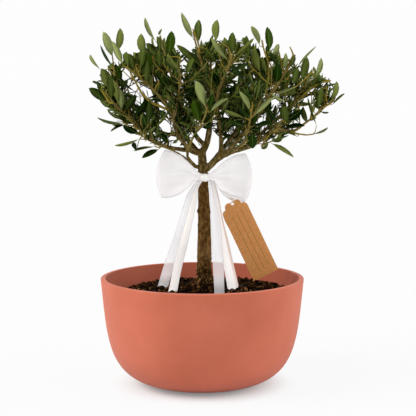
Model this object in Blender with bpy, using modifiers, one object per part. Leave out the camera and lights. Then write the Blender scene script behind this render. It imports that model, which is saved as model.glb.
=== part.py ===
"""A small olive tree in a terracotta bowl, with a sheer ribbon bow and a card tag tied to its trunk.

Metres, +Z up. The bowl stands on Z = 0 with its axis on Z, and the bow faces -Y.
"""

import math
import random

import bmesh
import bpy
from mathutils import Matrix, Vector
from mathutils.bvhtree import BVHTree

SEED = 7
GAP = 0.0003  # between two pieces that touch

# Bowl: a turned shell of even thickness with a flat underside and a rounded lip
RIM_RADIUS = 0.125
RIM_HEIGHT = 0.131
FOOT_RADIUS = 0.0347
BELLY_RADIUS = 0.1183
BELLY_HEIGHT = 0.049
WALL = 0.005
ROUND_STEPS = 40
BOWL_STEPS = 9

# Soil: as deep as the bowl, a little higher in the middle
SOIL_EDGE_HEIGHT = 0.110
SOIL_RISE = 0.0103
SOIL_FLAT_RADIUS = 0.026
SOIL_RINGS = 3

# Trunk: leans a little forward and to the left as it rises
TRUNK_FOOT = Vector((0.0025, 0.009, SOIL_EDGE_HEIGHT + SOIL_RISE + GAP))
TRUNK_TOP = Vector((-0.0005, 0.0005, 0.288))
TRUNK_BOW = 0.0022
TRUNK_FOOT_WIDTH = 0.0196
TRUNK_TOP_WIDTH = 0.0100
FLARE = 0.0036
FLARE_HEIGHT = 0.005
BURR_HEIGHT = 0.212
BURR_SWELL = 0.0014
BURR_SPREAD = 0.003
TRUNK_RINGS = 17

# Boughs. Each is one limb, given by the limb it leaves, how far along that it leaves it, the
# direction, reach and height of its tip from the bowl's axis, the slopes at which it sets out and
# arrives, its sideways sweep, and its thickness at its foot and its tip.
LIMBS = {
    "left": ("trunk", 0.985, 207, 0.098, 0.388, 20, 40, 0.000, 0.0080, 0.0046),
    "centre": ("trunk", 0.985, 138, 0.015, 0.432, 112, 72, 0.000, 0.0076, 0.0040),
    "right": ("trunk", 0.850, 338, 0.102, 0.326, 52, 42, 0.004, 0.0086, 0.0044),
    "left_low": ("left", 0.100, 194, 0.118, 0.359, -4, 52, -0.006, 0.0056, 0.0036),
    "left_under": ("trunk", 0.875, 208, 0.098, 0.316, 36, 24, 0.010, 0.0040, 0.0026),
    "left_far": ("left_low", 0.500, 174, 0.112, 0.416, 46, 78, 0.004, 0.0042, 0.0028),
    "left_up": ("left", 0.420, 250, 0.070, 0.400, 74, 76, -0.006, 0.0046, 0.0030),
    "front_left": ("trunk", 0.890, 272, 0.080, 0.348, 48, 62, -0.020, 0.0042, 0.0026),
    "upper_left": ("centre", 0.160, 150, 0.060, 0.428, 46, 74, 0.000, 0.0054, 0.0036),
    "right_centre": ("right", 0.230, 310, 0.054, 0.404, 86, 74, 0.003, 0.0066, 0.0042),
    "right_upper": ("right", 0.300, 350, 0.112, 0.404, 46, 64, -0.005, 0.0062, 0.0040),
    "front_right": ("right", 0.400, 308, 0.092, 0.342, 22, 66, 0.004, 0.0042, 0.0026),
    "right_mid": ("right", 0.500, 14, 0.140, 0.372, 24, 46, 0.006, 0.0048, 0.0032),
    "right_low": ("right", 0.560, 1, 0.152, 0.346, -2, 46, -0.007, 0.0050, 0.0030),
    "back_left": ("trunk", 0.960, 128, 0.108, 0.398, 34, 56, 0.005, 0.0066, 0.0040),
    "back": ("centre", 0.100, 88, 0.104, 0.376, 36, 48, -0.004, 0.0060, 0.0038),
    "back_right": ("right", 0.120, 48, 0.118, 0.394, 42, 56, -0.006, 0.0064, 0.0040),
    "back_left_low": ("back_left", 0.240, 153, 0.118, 0.346, 2, 46, -0.005, 0.0046, 0.0030),
    "back_right_low": ("back_right", 0.260, 66, 0.116, 0.336, 6, 40, -0.006, 0.0046, 0.0030),
    "back_high": ("centre", 0.260, 78, 0.050, 0.426, 44, 74, 0.000, 0.0050, 0.0034),
}
CROOK = 0.0024  # how far a limb wanders from its curve
CROOK_WAVES = 1.6
LIMB_POINTS = 13
BOUGH_SEGMENTS = 6
SHORTEST_BOUGH = 0.30  # share of its limb
FORK_MARGIN = 0.06  # a bough runs this share of its limb past its last fork
BARE_INTO_MASS = 0.004
COLLAR = 0.22  # a bough is this much thicker where it leaves its parent
COLLAR_FALL = 14
STOUT = 0.0058  # boughs thicker than this have eight sides, the others six

# Crown: the space that foliage may fill, about an axis a little right of the trunk's
CROWN_AXIS = Vector((0.015, 0.008, 0))
CROWN_RADIUS = 0.158
CROWN_FLOOR = 0.278
CROWN_FLOOR_RISE = 0.044
CROWN_TOP = 0.4555
CROWN_TOP_FALL = 0.030
BOW_SPACE_WIDTH = 0.120
BOW_SPACE_TOP = 0.296
BOW_SPACE_BACK = -0.006
MASS_CENTRE = 0.70  # share of its limb
MASS_MARGIN = 0.0004

# Twigs and leaves. Angles are in degrees. A twig or a leaf that finds no room is tried again at
# the next of its sizes.
STEM_SEGMENTS = 4
STEM_THINNING = 0.45
TWIGS_PER_MASS = 5
FIRST_TWIG = 0.06  # share of the stem
LAST_TWIG = 0.92
TWIG_LENGTH = 0.038
TWIG_SIZES = (1.15, 1.0, 0.85, 0.7, 0.55, 0.4)
TWIG_SHORTENING = 0.4  # between the first twig of a stem and its last
TWIG_RADIUS = 0.0012
TWIG_TIP_RADIUS = 0.0009
TWIG_SPREAD_FIRST = 65
TWIG_SPREAD_LAST = 36
TWIG_TURN = 137.5
LEAVES_PER_MASS = 20
LEAF_LENGTH = 0.030
LEAF_WIDTH = 0.0108
LEAF_SIZES = (1.1, 1.0, 0.9, 0.8, 0.7)
LEAF_SHOULDERS = ((0.30, 1.0), (0.72, 0.86))  # share of the length, share of the width
LEAF_KEEL = 0.0012
LEAF_SPACING = 0.0080
LEAF_STAGGER = 0.0015
LEAF_SINK = 0.0002
LEAF_SPREAD = (34, 62)
LAST_LEAF_SPREAD = (16, 30)
LAST_LEAF_PLACE = 0.97
LIMB_CLEARANCE = 0.0006

# Bow: a band round the trunk, a knot in front of it, two open loops and four tails
KNOT = Vector((0.0028, -0.0114, 0.2560))
KNOT_SIZE = (0.0124, 0.0080, 0.0112)
KNOT_BEVEL = 0.0024
BAND_THICKNESS = 0.0012
BAND_HEIGHT = 0.0090
RIBBON_THICKNESS = 0.0008
LOOP_PINCH = 0.0040
LOOPS = {
    # side: (which way, length, outward bulge of its end, half height of its end, rise of its end)
    "left": (-1, 0.0485, 0.0085, 0.0295, 0.0065),
    "right": (1, 0.0465, 0.0080, 0.0285, 0.0020),
}
LOOP_ENDS_APART = 0.035  # share of a full turn, at each of a loop's two ends
LOOP_FRONT = 0.0150
LOOP_BACK = 0.0022
LOOP_SET_FORWARD = 0.0012
TAIL_WIDTH = 0.0120
TAIL_TOP_WIDTH = 0.0040
TAIL_NOTCH = 0.0050
TAILS = {
    # name: (which side of the knot, how far forward it starts, its foot)
    "outer_left": (-1, 0.0012, Vector((-0.0490, -0.0050, 0.1215))),
    "inner_left": (-1, -0.0020, Vector((-0.0355, -0.0360, 0.1205))),
    "inner_right": (1, -0.0020, Vector((0.0206, -0.0620, 0.1200))),
    "outer_right": (1, 0.0012, Vector((0.0387, -0.0240, 0.1212))),
}

# Tag: a card with a scalloped head, tied by a thread from the knot and leaning back onto the soil
TAG_HOLE = Vector((0.0361, -0.0070, 0.2236))
TAG_FOOT_LEFT = Vector((0.0647, 0.0330, 0.1213))
TAG_FOOT_RIGHT = Vector((0.0944, 0.0330, 0.1357))
TAG_THICKNESS = 0.0008
TAG_HEAD = 0.0052
TAG_HOLE_RADIUS = 0.0019
TAG_LOBE = 0.0052
THREAD_RADIUS = 0.0004


# Helpers

def clear_scene():
    for item in list(bpy.data.objects):
        bpy.data.objects.remove(item)


def new_collection(name):
    collection = bpy.data.collections.new(name)
    bpy.context.scene.collection.children.link(collection)
    return collection


def material(name, colour, roughness):
    made = bpy.data.materials.new(name)
    made.use_nodes = True
    shader = made.node_tree.nodes["Principled BSDF"]
    shader.inputs["Base Color"].default_value = (*colour, 1)
    shader.inputs["Roughness"].default_value = roughness
    return made


def add_object(name, data, collection):
    made = bpy.data.objects.new(name, data)
    collection.objects.link(made)
    return made


def add_bmesh(name, shape, collection):
    mesh = bpy.data.meshes.new(name)
    shape.to_mesh(mesh)
    shape.free()
    return add_object(name, mesh, collection)


def finish(piece, finish_material, angle=40):
    piece.data.materials.clear()
    piece.data.materials.append(finish_material)
    piece.data.shade_smooth()
    piece.data.set_sharp_from_angle(angle=math.radians(angle))


def bezier(points, t):
    """A point of the Bezier curve with these control points."""
    points = list(points)
    while len(points) > 1:
        points = [a.lerp(b, t) for a, b in zip(points, points[1:])]
    return points[0]


def along(points, t):
    """The point a fraction t of the way along evenly spaced points."""
    place = min(max(t, 0.0), 1.0) * (len(points) - 1)
    first = min(int(place), len(points) - 2)
    return points[first].lerp(points[first + 1], place - first)


def heading(azimuth):
    return Vector((math.cos(math.radians(azimuth)), math.sin(math.radians(azimuth)), 0))


def apply_modifiers(piece):
    """Swaps the mesh for the one that its modifiers make of it."""
    bpy.context.view_layer.update()
    made = bpy.data.meshes.new_from_object(piece.evaluated_get(bpy.context.evaluated_depsgraph_get()))
    old = piece.data
    piece.modifiers.clear()
    piece.data = made
    bpy.data.meshes.remove(old)


def tube(name, points, radii, collection, sides=8):
    """A tube through these points, closed at both ends, with its own radius at each."""
    curve = bpy.data.curves.new(name, "CURVE")
    curve.dimensions = "3D"
    curve.use_fill_caps = True
    guide = None
    if sides == 3:
        outline = bpy.data.curves.new("section", "CURVE")
        section = outline.splines.new("POLY")
        section.points.add(2)
        for index, point in enumerate(section.points):
            turn = math.tau * index / 3
            point.co = (math.cos(turn), math.sin(turn), 0, 1)
        section.use_cyclic_u = True
        guide = bpy.data.objects.new("section", outline)
        curve.bevel_mode = "OBJECT"
        curve.bevel_object = guide
    else:
        curve.bevel_depth = 1.0
        curve.bevel_resolution = (sides - 4) // 2
    spline = curve.splines.new("POLY")
    spline.points.add(len(points) - 1)
    for item, point, radius in zip(spline.points, points, radii):
        item.co = (*point, 1)
        item.radius = radius
    drawn = add_object(name + "_line", curve, collection)
    bpy.context.view_layer.update()
    mesh = bpy.data.meshes.new_from_object(drawn.evaluated_get(bpy.context.evaluated_depsgraph_get()))
    mesh.name = name
    shape = bmesh.new()
    shape.from_mesh(mesh)
    bmesh.ops.remove_doubles(shape, verts=shape.verts, dist=1e-6)
    bmesh.ops.recalc_face_normals(shape, faces=shape.faces)
    shape.to_mesh(mesh)
    shape.free()
    made = add_object(name, mesh, collection)
    made.matrix_world = drawn.matrix_world
    bpy.data.curves.remove(curve)
    if guide:
        bpy.data.curves.remove(guide.data)
    return made


def cut(piece, cutter):
    boolean = piece.modifiers.new("cut", "BOOLEAN")
    boolean.operation = "DIFFERENCE"
    boolean.object = cutter
    apply_modifiers(piece)


def keep_largest_body(piece):
    """Drops the scraps that a cut leaves beside the main body."""
    shape = bmesh.new()
    shape.from_mesh(piece.data)
    left = set(shape.verts)
    bodies = []
    while left:
        body = set()
        edge = [left.pop()]
        while edge:
            vert = edge.pop()
            body.add(vert)
            for link in vert.link_edges:
                other = link.other_vert(vert)
                if other in left:
                    left.remove(other)
                    edge.append(other)
        bodies.append(body)
    bodies.sort(key=len, reverse=True)
    scraps = [vert for body in bodies[1:] for vert in body]
    bmesh.ops.delete(shape, geom=scraps, context="VERTS")
    shape.to_mesh(piece.data)
    shape.free()


def tree_of(piece):
    shape = bmesh.new()
    shape.from_mesh(piece.data)
    shape.transform(piece.matrix_world)
    made = BVHTree.FromBMesh(shape)
    shape.free()
    return made


# Bowl and soil

def bowl_line(inset):
    """Points (radius, height) up the bowl's outer line from its foot, moved this far into the wall."""
    lip = WALL / 2
    controls = [
        Vector((FOOT_RADIUS, 0)),
        Vector((BELLY_RADIUS, 0)),
        Vector((BELLY_RADIUS - 0.0017, BELLY_HEIGHT)),
        Vector((RIM_RADIUS, RIM_HEIGHT - lip)),
    ]
    line = []
    for step in range(BOWL_STEPS + 1):
        t = step / BOWL_STEPS
        before = bezier(controls, max(t - 0.001, 0))
        after = bezier(controls, min(t + 0.001, 1))
        along_line = (after - before).normalized()
        inward = Vector((-along_line.y, along_line.x))
        line.append(bezier(controls, t) + inward * inset)
    return line


def turned(name, profile, collection):
    """A profile of (radius, height) points turned about Z."""
    shape = bmesh.new()
    verts = [shape.verts.new((point[0], 0, point[1])) for point in profile]
    for first, second in zip(verts, verts[1:]):
        shape.edges.new((first, second))
    made = add_bmesh(name, shape, collection)
    screw = made.modifiers.new("turn", "SCREW")
    screw.steps = ROUND_STEPS
    screw.render_steps = ROUND_STEPS
    screw.use_merge_vertices = True
    screw.merge_threshold = 0.00001
    apply_modifiers(made)
    return made


def make_pot(collection, clay):
    outer = bowl_line(0)
    inner = bowl_line(WALL)
    lip_middle = (outer[-1] + inner[-1]) / 2
    lip = []
    for step in range(1, 4):
        turn = math.pi * step / 4
        across = (outer[-1] - inner[-1]) / 2
        lip.append(lip_middle - across * math.cos(turn) + Vector((0, WALL / 2)) * math.sin(turn))
    profile = [Vector((0, WALL))] + inner + lip + outer[::-1] + [Vector((0, 0))]
    pot = turned("pot", profile, collection)
    finish(pot, clay)


def make_soil(collection, earth):
    line = bowl_line(WALL + GAP)
    below = sum(point.y < SOIL_EDGE_HEIGHT for point in line)
    lower, upper = line[below - 1], line[below]
    walls = line[below - 1 :: -2]
    share = (SOIL_EDGE_HEIGHT - lower.y) / (upper.y - lower.y)
    edge = lower.lerp(upper, share)
    top = [Vector((0, SOIL_EDGE_HEIGHT + SOIL_RISE))]
    for step in range(SOIL_RINGS):
        radius = SOIL_FLAT_RADIUS + (edge.x - SOIL_FLAT_RADIUS) * step / SOIL_RINGS
        fall = (radius - SOIL_FLAT_RADIUS) / (edge.x - SOIL_FLAT_RADIUS)
        top.append(Vector((radius, SOIL_EDGE_HEIGHT + SOIL_RISE * (1 - fall**2))))
    profile = top + [edge] + walls + [Vector((0, WALL + GAP))]
    soil = turned("soil", profile, collection)
    finish(soil, earth)


# Trunk and boughs

def trunk_line():
    lean = TRUNK_TOP - TRUNK_FOOT
    aside = Vector((TRUNK_BOW, 0, 0))
    controls = [TRUNK_FOOT, TRUNK_FOOT + lean / 3 + aside, TRUNK_TOP - lean / 3 + aside, TRUNK_TOP]
    line = [bezier(controls, ring / (TRUNK_RINGS - 1)) for ring in range(TRUNK_RINGS)]
    line[0].xy = line[1].xy  # upright at its foot, so that the cut there is level
    return line


def trunk_radius(height):
    """Half the trunk's thickness at a height: an even taper, a root flare, and a burr half way up."""
    share = (height - TRUNK_FOOT.z) / (TRUNK_TOP.z - TRUNK_FOOT.z)
    width = TRUNK_FOOT_WIDTH + (TRUNK_TOP_WIDTH - TRUNK_FOOT_WIDTH) * share
    width += FLARE * math.exp(-(height - TRUNK_FOOT.z) / FLARE_HEIGHT)
    width += BURR_SWELL * math.exp(-(((height - BURR_HEIGHT) / BURR_SPREAD) ** 2))
    return width / 2


def limb_line(name, lines):
    """The centre line of a limb from its parent's line to its tip."""
    parent, where, azimuth, reach, height, leaving, arriving, sweep, _, _ = LIMBS[name]
    rng = random.Random(f"{SEED} {name} line")
    start = along(lines[parent], where)
    tip = heading(azimuth) * reach + Vector((0, 0, height))
    out = Vector((tip.x - start.x, tip.y - start.y, 0)).normalized()
    side = Vector((-out.y, out.x, 0))
    stride = (tip - start).length / 3
    rise = Vector((0, 0, 1))
    slope_out = math.radians(leaving)
    slope_in = math.radians(arriving)
    first = start + (out * math.cos(slope_out) + rise * math.sin(slope_out)) * stride
    second = tip - (out * math.cos(slope_in) + rise * math.sin(slope_in)) * stride
    aside = side * sweep / 0.75  # moves the middle of the curve by the sweep
    controls = [start, first + aside, second + aside, tip]
    phase = rng.uniform(0, math.tau)
    twist = rng.uniform(0, math.tau)
    line = []
    for step in range(LIMB_POINTS):
        t = step / (LIMB_POINTS - 1)
        crook = CROOK * math.sin(math.tau * CROOK_WAVES * t + phase) * math.sin(math.pi * t)
        bent = side * math.cos(twist) + rise * math.sin(twist)
        line.append(bezier(controls, t) + bent * crook)
    return line


def limb_radius(name, t):
    thick, thin = LIMBS[name][8:]
    width = thick + (thin - thick) * t
    return width / 2 * (1 + COLLAR * math.exp(-t * COLLAR_FALL))


def mass_centres(lines):
    return {name: along(lines[name], MASS_CENTRE) for name in LIMBS}


def inside_own_space(name, point, centres, margin=MASS_MARGIN):
    """True where the point is nearer to this mass's centre than to any other, with a margin."""
    own = centres[name]
    for other, centre in centres.items():
        if other == name:
            continue
        apart = (centre - own).length
        lead = ((point - centre).length_squared - (point - own).length_squared) / (2 * apart)
        if lead < margin:
            return False
    return True


def inside_crown(point):
    out = Vector((point.x - CROWN_AXIS.x, point.y - CROWN_AXIS.y, 0)).length
    before_bow = point.y < BOW_SPACE_BACK and abs(point.x - KNOT.x) < BOW_SPACE_WIDTH / 2
    if before_bow and point.z < BOW_SPACE_TOP:
        return False
    lowest = CROWN_FLOOR + CROWN_FLOOR_RISE * (out / 0.140) ** 4
    highest = CROWN_TOP - CROWN_TOP_FALL * (out / 0.130) ** 3
    return out < CROWN_RADIUS and lowest < point.z < highest


def bough_end(name, line, centres):
    """How far along its line a bough runs: past the limbs that leave it, and into its mass."""
    forks = [row[1] + FORK_MARGIN for row in LIMBS.values() if row[0] == name]
    t = max([SHORTEST_BOUGH] + forks)
    while t < 0.9 and not inside_own_space(name, along(line, t), centres, BARE_INTO_MASS):
        t += 0.01
    return t


def make_trunk(collection, bark):
    line = trunk_line()
    radii = [trunk_radius(point.z) for point in line]
    finish(tube("trunk", line, radii, collection, sides=12), bark)


def make_boughs(parts, cutters, bark, lines, ends):
    """The boughs, each cut clear of the trunk and of the boughs made before it."""
    trunk = lines["trunk"]
    wide = [trunk_radius(point.z) + GAP for point in trunk]
    fat = {"trunk": tube("trunk_cutter", trunk, wide, cutters, sides=12)}
    trees = {"trunk": tree_of(fat["trunk"])}
    for name in LIMBS:
        spots = [ends[name] * step / BOUGH_SEGMENTS for step in range(BOUGH_SEGMENTS + 1)]
        points = [along(lines[name], t) for t in spots]
        radii = [limb_radius(name, t) for t in spots]
        sides = 8 if LIMBS[name][8] > STOUT else 6
        bough = tube("bough_" + name, points, radii, parts, sides)
        solid = tree_of(bough)
        for other, cutter in fat.items():
            if solid.overlap(trees[other]):
                cut(bough, cutter)
        keep_largest_body(bough)
        finish(bough, bark)
        wide = [radius + GAP for radius in radii]
        longer = points[:-1] + [points[-1] + (points[-1] - points[-2]).normalized() * GAP]
        fat[name] = tube(name + "_cutter", longer, wide, cutters, sides)
        trees[name] = tree_of(fat[name])
    for cutter in fat.values():
        cutter.hide_render = True
        cutter.display_type = "WIRE"


# Foliage

def leaf_shape():
    """A leaf along +X with a keel below it: a hull of its root, its tip and four shoulders."""
    shape = bmesh.new()
    outline = [(0, 0, 0), (LEAF_LENGTH, 0, 0)]
    for share, width in LEAF_SHOULDERS:
        for side in (-1, 1):
            outline.append((LEAF_LENGTH * share, side * LEAF_WIDTH * width / 2, LEAF_KEEL))
    for corner in outline:
        shape.verts.new(corner)
    bmesh.ops.convex_hull(shape, input=shape.verts)
    bmesh.ops.recalc_face_normals(shape, faces=shape.faces)
    mesh = bpy.data.meshes.new("leaf")
    shape.to_mesh(mesh)
    shape.free()
    return mesh


def leaf_frame(root, direction, face, size):
    """The matrix that lays a leaf from its root along a direction, with its upper side to face."""
    along_leaf = direction.normalized()
    across = face.cross(along_leaf).normalized()
    up = along_leaf.cross(across)
    turn = Matrix((along_leaf, across, up)).transposed().to_4x4()
    return Matrix.Translation(root - along_leaf * LEAF_SINK) @ turn @ Matrix.Scale(size, 4)


def side_direction(direction, turn):
    """A direction square to this one, turned about it."""
    level = direction.cross(Vector((0, 0, 1)))
    if level.length < 0.1:
        level = Vector((1, 0, 0))
    level.normalize()
    steep = level.cross(direction).normalized()
    return level * math.cos(turn) + steep * math.sin(turn)


def leaning(direction, side, degrees):
    """A direction that leans this far from another to one side."""
    return direction * math.cos(math.radians(degrees)) + side * math.sin(math.radians(degrees))


class Mass:
    """One mass of foliage: what it has grown so far, and the space that it keeps to."""

    def __init__(self, name, lines, ends, centres, blocks, parts):
        self.name = name
        self.rng = random.Random(f"{SEED} {name} foliage")
        self.line = lines[name]
        self.start = ends[name]
        self.centres = centres
        self.blocks = blocks
        self.pieces = new_collection("pieces " + name)
        points = []
        radii = []
        for step in range(STEM_SEGMENTS + 1):
            share = step / STEM_SEGMENTS
            t = self.start + (1 - self.start) * share
            points.append(along(self.line, t))
            radii.append(limb_radius(name, t) * (1 - STEM_THINNING * share))
        self.stem = tube("foliage_" + name, points, radii, parts, sides=3)
        cut(self.stem, bpy.data.objects[name + "_cutter"])
        self.shapes = {"stem": tree_of(self.stem)}
        self.twigs = {"stem": points}
        self.leaves = 0

    def fits(self, piece, bearer):
        """True where a piece keeps to the mass's space and touches only the twig that bears it."""
        for vert in piece.data.vertices:
            point = piece.matrix_world @ vert.co
            if not inside_own_space(self.name, point, self.centres) or not inside_crown(point):
                return False
        shape = tree_of(piece)
        others = [block for key, block in self.shapes.items() if key != bearer]
        if any(shape.overlap(other) for other in self.blocks + others):
            return False
        self.shapes[piece.name] = shape
        return True

    def grow_twig(self, share, turn):
        """Tries a twig at this place on the stem, shorter and turned further at each try."""
        rng = self.rng
        t = self.start + (1 - self.start) * share
        point = along(self.line, t)
        direction = (along(self.line, t + 0.04) - along(self.line, t - 0.04)).normalized()
        spread = TWIG_SPREAD_FIRST + (TWIG_SPREAD_LAST - TWIG_SPREAD_FIRST) * share
        for length in TWIG_SIZES:
            side = side_direction(direction, turn + rng.uniform(-0.5, 0.5))
            away = leaning(direction, side, spread + rng.uniform(-10, 10))
            size = TWIG_LENGTH * length * (1.15 - TWIG_SHORTENING * share)
            middle = point + away * size / 2
            lift = Vector((0, 0, rng.uniform(0.1, 0.4)))
            points = [point, middle, middle + (away + lift).normalized() * size / 2]
            radii = [TWIG_RADIUS, (TWIG_RADIUS + TWIG_TIP_RADIUS) / 2, TWIG_TIP_RADIUS]
            twig = tube("twig", points, radii, self.pieces, sides=3)
            if self.fits(twig, "stem"):
                self.twigs[twig.name] = points
                return
            bpy.data.meshes.remove(twig.data)

    def leaf_sites(self):
        """Where leaves may sit: in pairs along each twig, each pair turned across the last."""
        sites = []
        for bearer, points in self.twigs.items():
            length = sum((b - a).length for a, b in zip(points, points[1:]))
            pairs = max(2, round(length / LEAF_SPACING))
            turn = self.rng.uniform(0, math.pi)
            for pair in range(pairs):
                share = (pair + 1) / pairs
                if share * length < LEAF_SPACING * 0.8:
                    continue
                turn += math.pi / 2
                for way in (0, 1):
                    last = pair == pairs - 1
                    place = min(share, LAST_LEAF_PLACE) - way * LEAF_STAGGER / length
                    sites.append((bearer, place, turn + way * math.pi, last))
        self.rng.shuffle(sites)
        sites.sort(key=lambda site: not site[3])
        return sites

    def grow_leaf(self, leaf_mesh, bearer, share, turn, last):
        """Tries a leaf at this place on a twig, smaller and turned further at each try."""
        rng = self.rng
        points = self.twigs[bearer]
        point = along(points, share)
        direction = (along(points, share + 0.02) - along(points, share - 0.2)).normalized()
        outward = Vector((point.x, point.y, 0)).normalized()
        for size in LEAF_SIZES:
            side = side_direction(direction, turn + rng.uniform(-0.5, 0.5))
            away = leaning(direction, side, rng.uniform(*(LAST_LEAF_SPREAD if last else LEAF_SPREAD)))
            around = side_direction(direction, rng.uniform(0, math.tau))
            face = outward * rng.uniform(-0.3, 1.0) + around * 0.8 + Vector((0, 0, 0.4))
            leaf = add_object("leaf", leaf_mesh, self.pieces)
            leaf.matrix_world = leaf_frame(point, away, face, size)
            if self.fits(leaf, bearer):
                self.leaves += 1
                return True
            bpy.data.objects.remove(leaf)
        return False

    def join(self, green):
        """Joins the twigs and leaves to the stem, as one body."""
        boolean = self.stem.modifiers.new("join", "BOOLEAN")
        boolean.operation = "UNION"
        boolean.operand_type = "COLLECTION"
        boolean.collection = self.pieces
        apply_modifiers(self.stem)
        for piece in list(self.pieces.objects):
            bpy.data.objects.remove(piece)
        bpy.data.collections.remove(self.pieces)
        keep_largest_body(self.stem)
        finish(self.stem, green, angle=25)


def make_mass(name, lines, ends, centres, blocks, leaf_mesh, parts, green):
    """Grows one mass of foliage that carries its bough on, and returns its number of leaves."""
    mass = Mass(name, lines, ends, centres, blocks, parts)
    turn = mass.rng.uniform(0, math.pi)
    for index in range(TWIGS_PER_MASS):
        share = index / (TWIGS_PER_MASS - 1)
        mass.grow_twig(FIRST_TWIG + (LAST_TWIG - FIRST_TWIG) * share, turn)
        turn += math.radians(TWIG_TURN)
    bearing = set()
    for site in mass.leaf_sites():
        if mass.leaves < LEAVES_PER_MASS and mass.grow_leaf(leaf_mesh, *site):
            bearing.add(site[0])
    for twig in list(mass.pieces.objects):
        if twig.name in mass.twigs and twig.name not in bearing:
            bpy.data.objects.remove(twig)
    mass.join(green)
    return mass.leaves


# Bow, tag and thread

def sheet(name, columns, rows, place, collection, satin):
    """A ribbon: a grid whose points are placed by a rule of (along, across), both 0 to 1."""
    shape = bmesh.new()
    bmesh.ops.create_grid(shape, x_segments=columns, y_segments=rows, size=0.5)
    for vert in shape.verts:
        vert.co = place(vert.co.x + 0.5, vert.co.y + 0.5)
    made = add_bmesh(name, shape, collection)
    solidify = made.modifiers.new("thickness", "SOLIDIFY")
    solidify.thickness = RIBBON_THICKNESS
    solidify.offset = 0
    solidify.use_even_offset = True
    apply_modifiers(made)
    shape = bmesh.new()
    shape.from_mesh(made.data)
    bmesh.ops.recalc_face_normals(shape, faces=shape.faces)
    shape.to_mesh(made.data)
    shape.free()
    finish(made, satin)


def make_loop(side, collection, sheer):
    way, length, bulge, half, rise = LOOPS[side]
    start = KNOT.x + way * (KNOT_SIZE[0] / 2 + GAP + RIBBON_THICKNESS / 2)
    first_turn = math.tau * LOOP_ENDS_APART

    def place(u, v):
        turn = first_turn + (math.tau - 2 * first_turn) * u
        out = (math.cos(first_turn) - math.cos(turn)) / (math.cos(first_turn) + 1)
        depth = LOOP_FRONT if math.sin(turn) > 0 else LOOP_BACK
        across = 2 * v - 1
        x = start + way * (length * out + bulge * out**3 * (1 - across**2))
        ahead = depth * math.sin(turn) * math.sin(turn / 2) + LOOP_SET_FORWARD * math.cos(turn / 2)
        z = KNOT.z + rise * out + across * (LOOP_PINCH + (half - LOOP_PINCH) * out**0.75)
        return Vector((x, KNOT.y - ahead, z))

    sheet("bow_loop_" + side, 13, 4, place, collection, sheer)


def make_tail(name, collection, satin):
    side, forward, foot = TAILS[name]
    below = KNOT_SIZE[2] / 2 + GAP
    head = KNOT + Vector((side * (KNOT_SIZE[0] - TAIL_TOP_WIDTH) / 2, forward, -below))
    drop = head.z - foot.z
    controls = [
        head,
        head + Vector((side * 0.0095, -0.0030, -drop * 0.16)),
        foot + Vector(((head.x - foot.x) * 0.30, -0.0060, drop * 0.35)),
        foot,
    ]

    def place(u, v):
        across = 2 * v - 1
        centre = bezier(controls, u)
        width = TAIL_TOP_WIDTH + (TAIL_WIDTH - TAIL_TOP_WIDTH) * min(1, u / 0.2)
        notch = TAIL_NOTCH * (1 - abs(across)) if u > 0.999 else 0
        fold = 0.0012 * math.sin(3 * math.pi * u) * across
        return centre + Vector((across * width / 2, fold, notch))

    sheet("bow_tail_" + name, 9, 2, place, collection, satin)


def make_knot(collection, satin):
    shape = bmesh.new()
    bmesh.ops.create_cube(shape, size=1)
    for vert in shape.verts:
        vert.co = Vector([vert.co[axis] * KNOT_SIZE[axis] for axis in range(3)])
    knot = add_bmesh("bow_knot", shape, collection)
    knot.location = KNOT
    bevel = knot.modifiers.new("soft", "BEVEL")
    bevel.width = KNOT_BEVEL
    bevel.segments = 2
    finish(knot, satin)


def make_band(parts, cutters, satin):
    """The ribbon round the trunk behind the knot, cut to the trunk's own taper."""
    trunk = along(trunk_line(), (KNOT.z - TRUNK_FOOT.z) / (TRUNK_TOP.z - TRUNK_FOOT.z))
    radius = trunk_radius(KNOT.z) + GAP + BAND_THICKNESS
    ends = [Vector((trunk.x, trunk.y, KNOT.z + way * BAND_HEIGHT / 2)) for way in (-1, 1)]
    band = tube("bow_band", ends, [radius, radius], parts, sides=16)
    cut(band, bpy.data.objects["trunk_cutter"])
    finish(band, satin)


def tag_axes():
    across = (TAG_FOOT_RIGHT - TAG_FOOT_LEFT).normalized()
    foot = (TAG_FOOT_LEFT + TAG_FOOT_RIGHT) / 2
    down = foot - TAG_HOLE
    down -= across * down.dot(across)
    return across, down.normalized(), down.length


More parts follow.
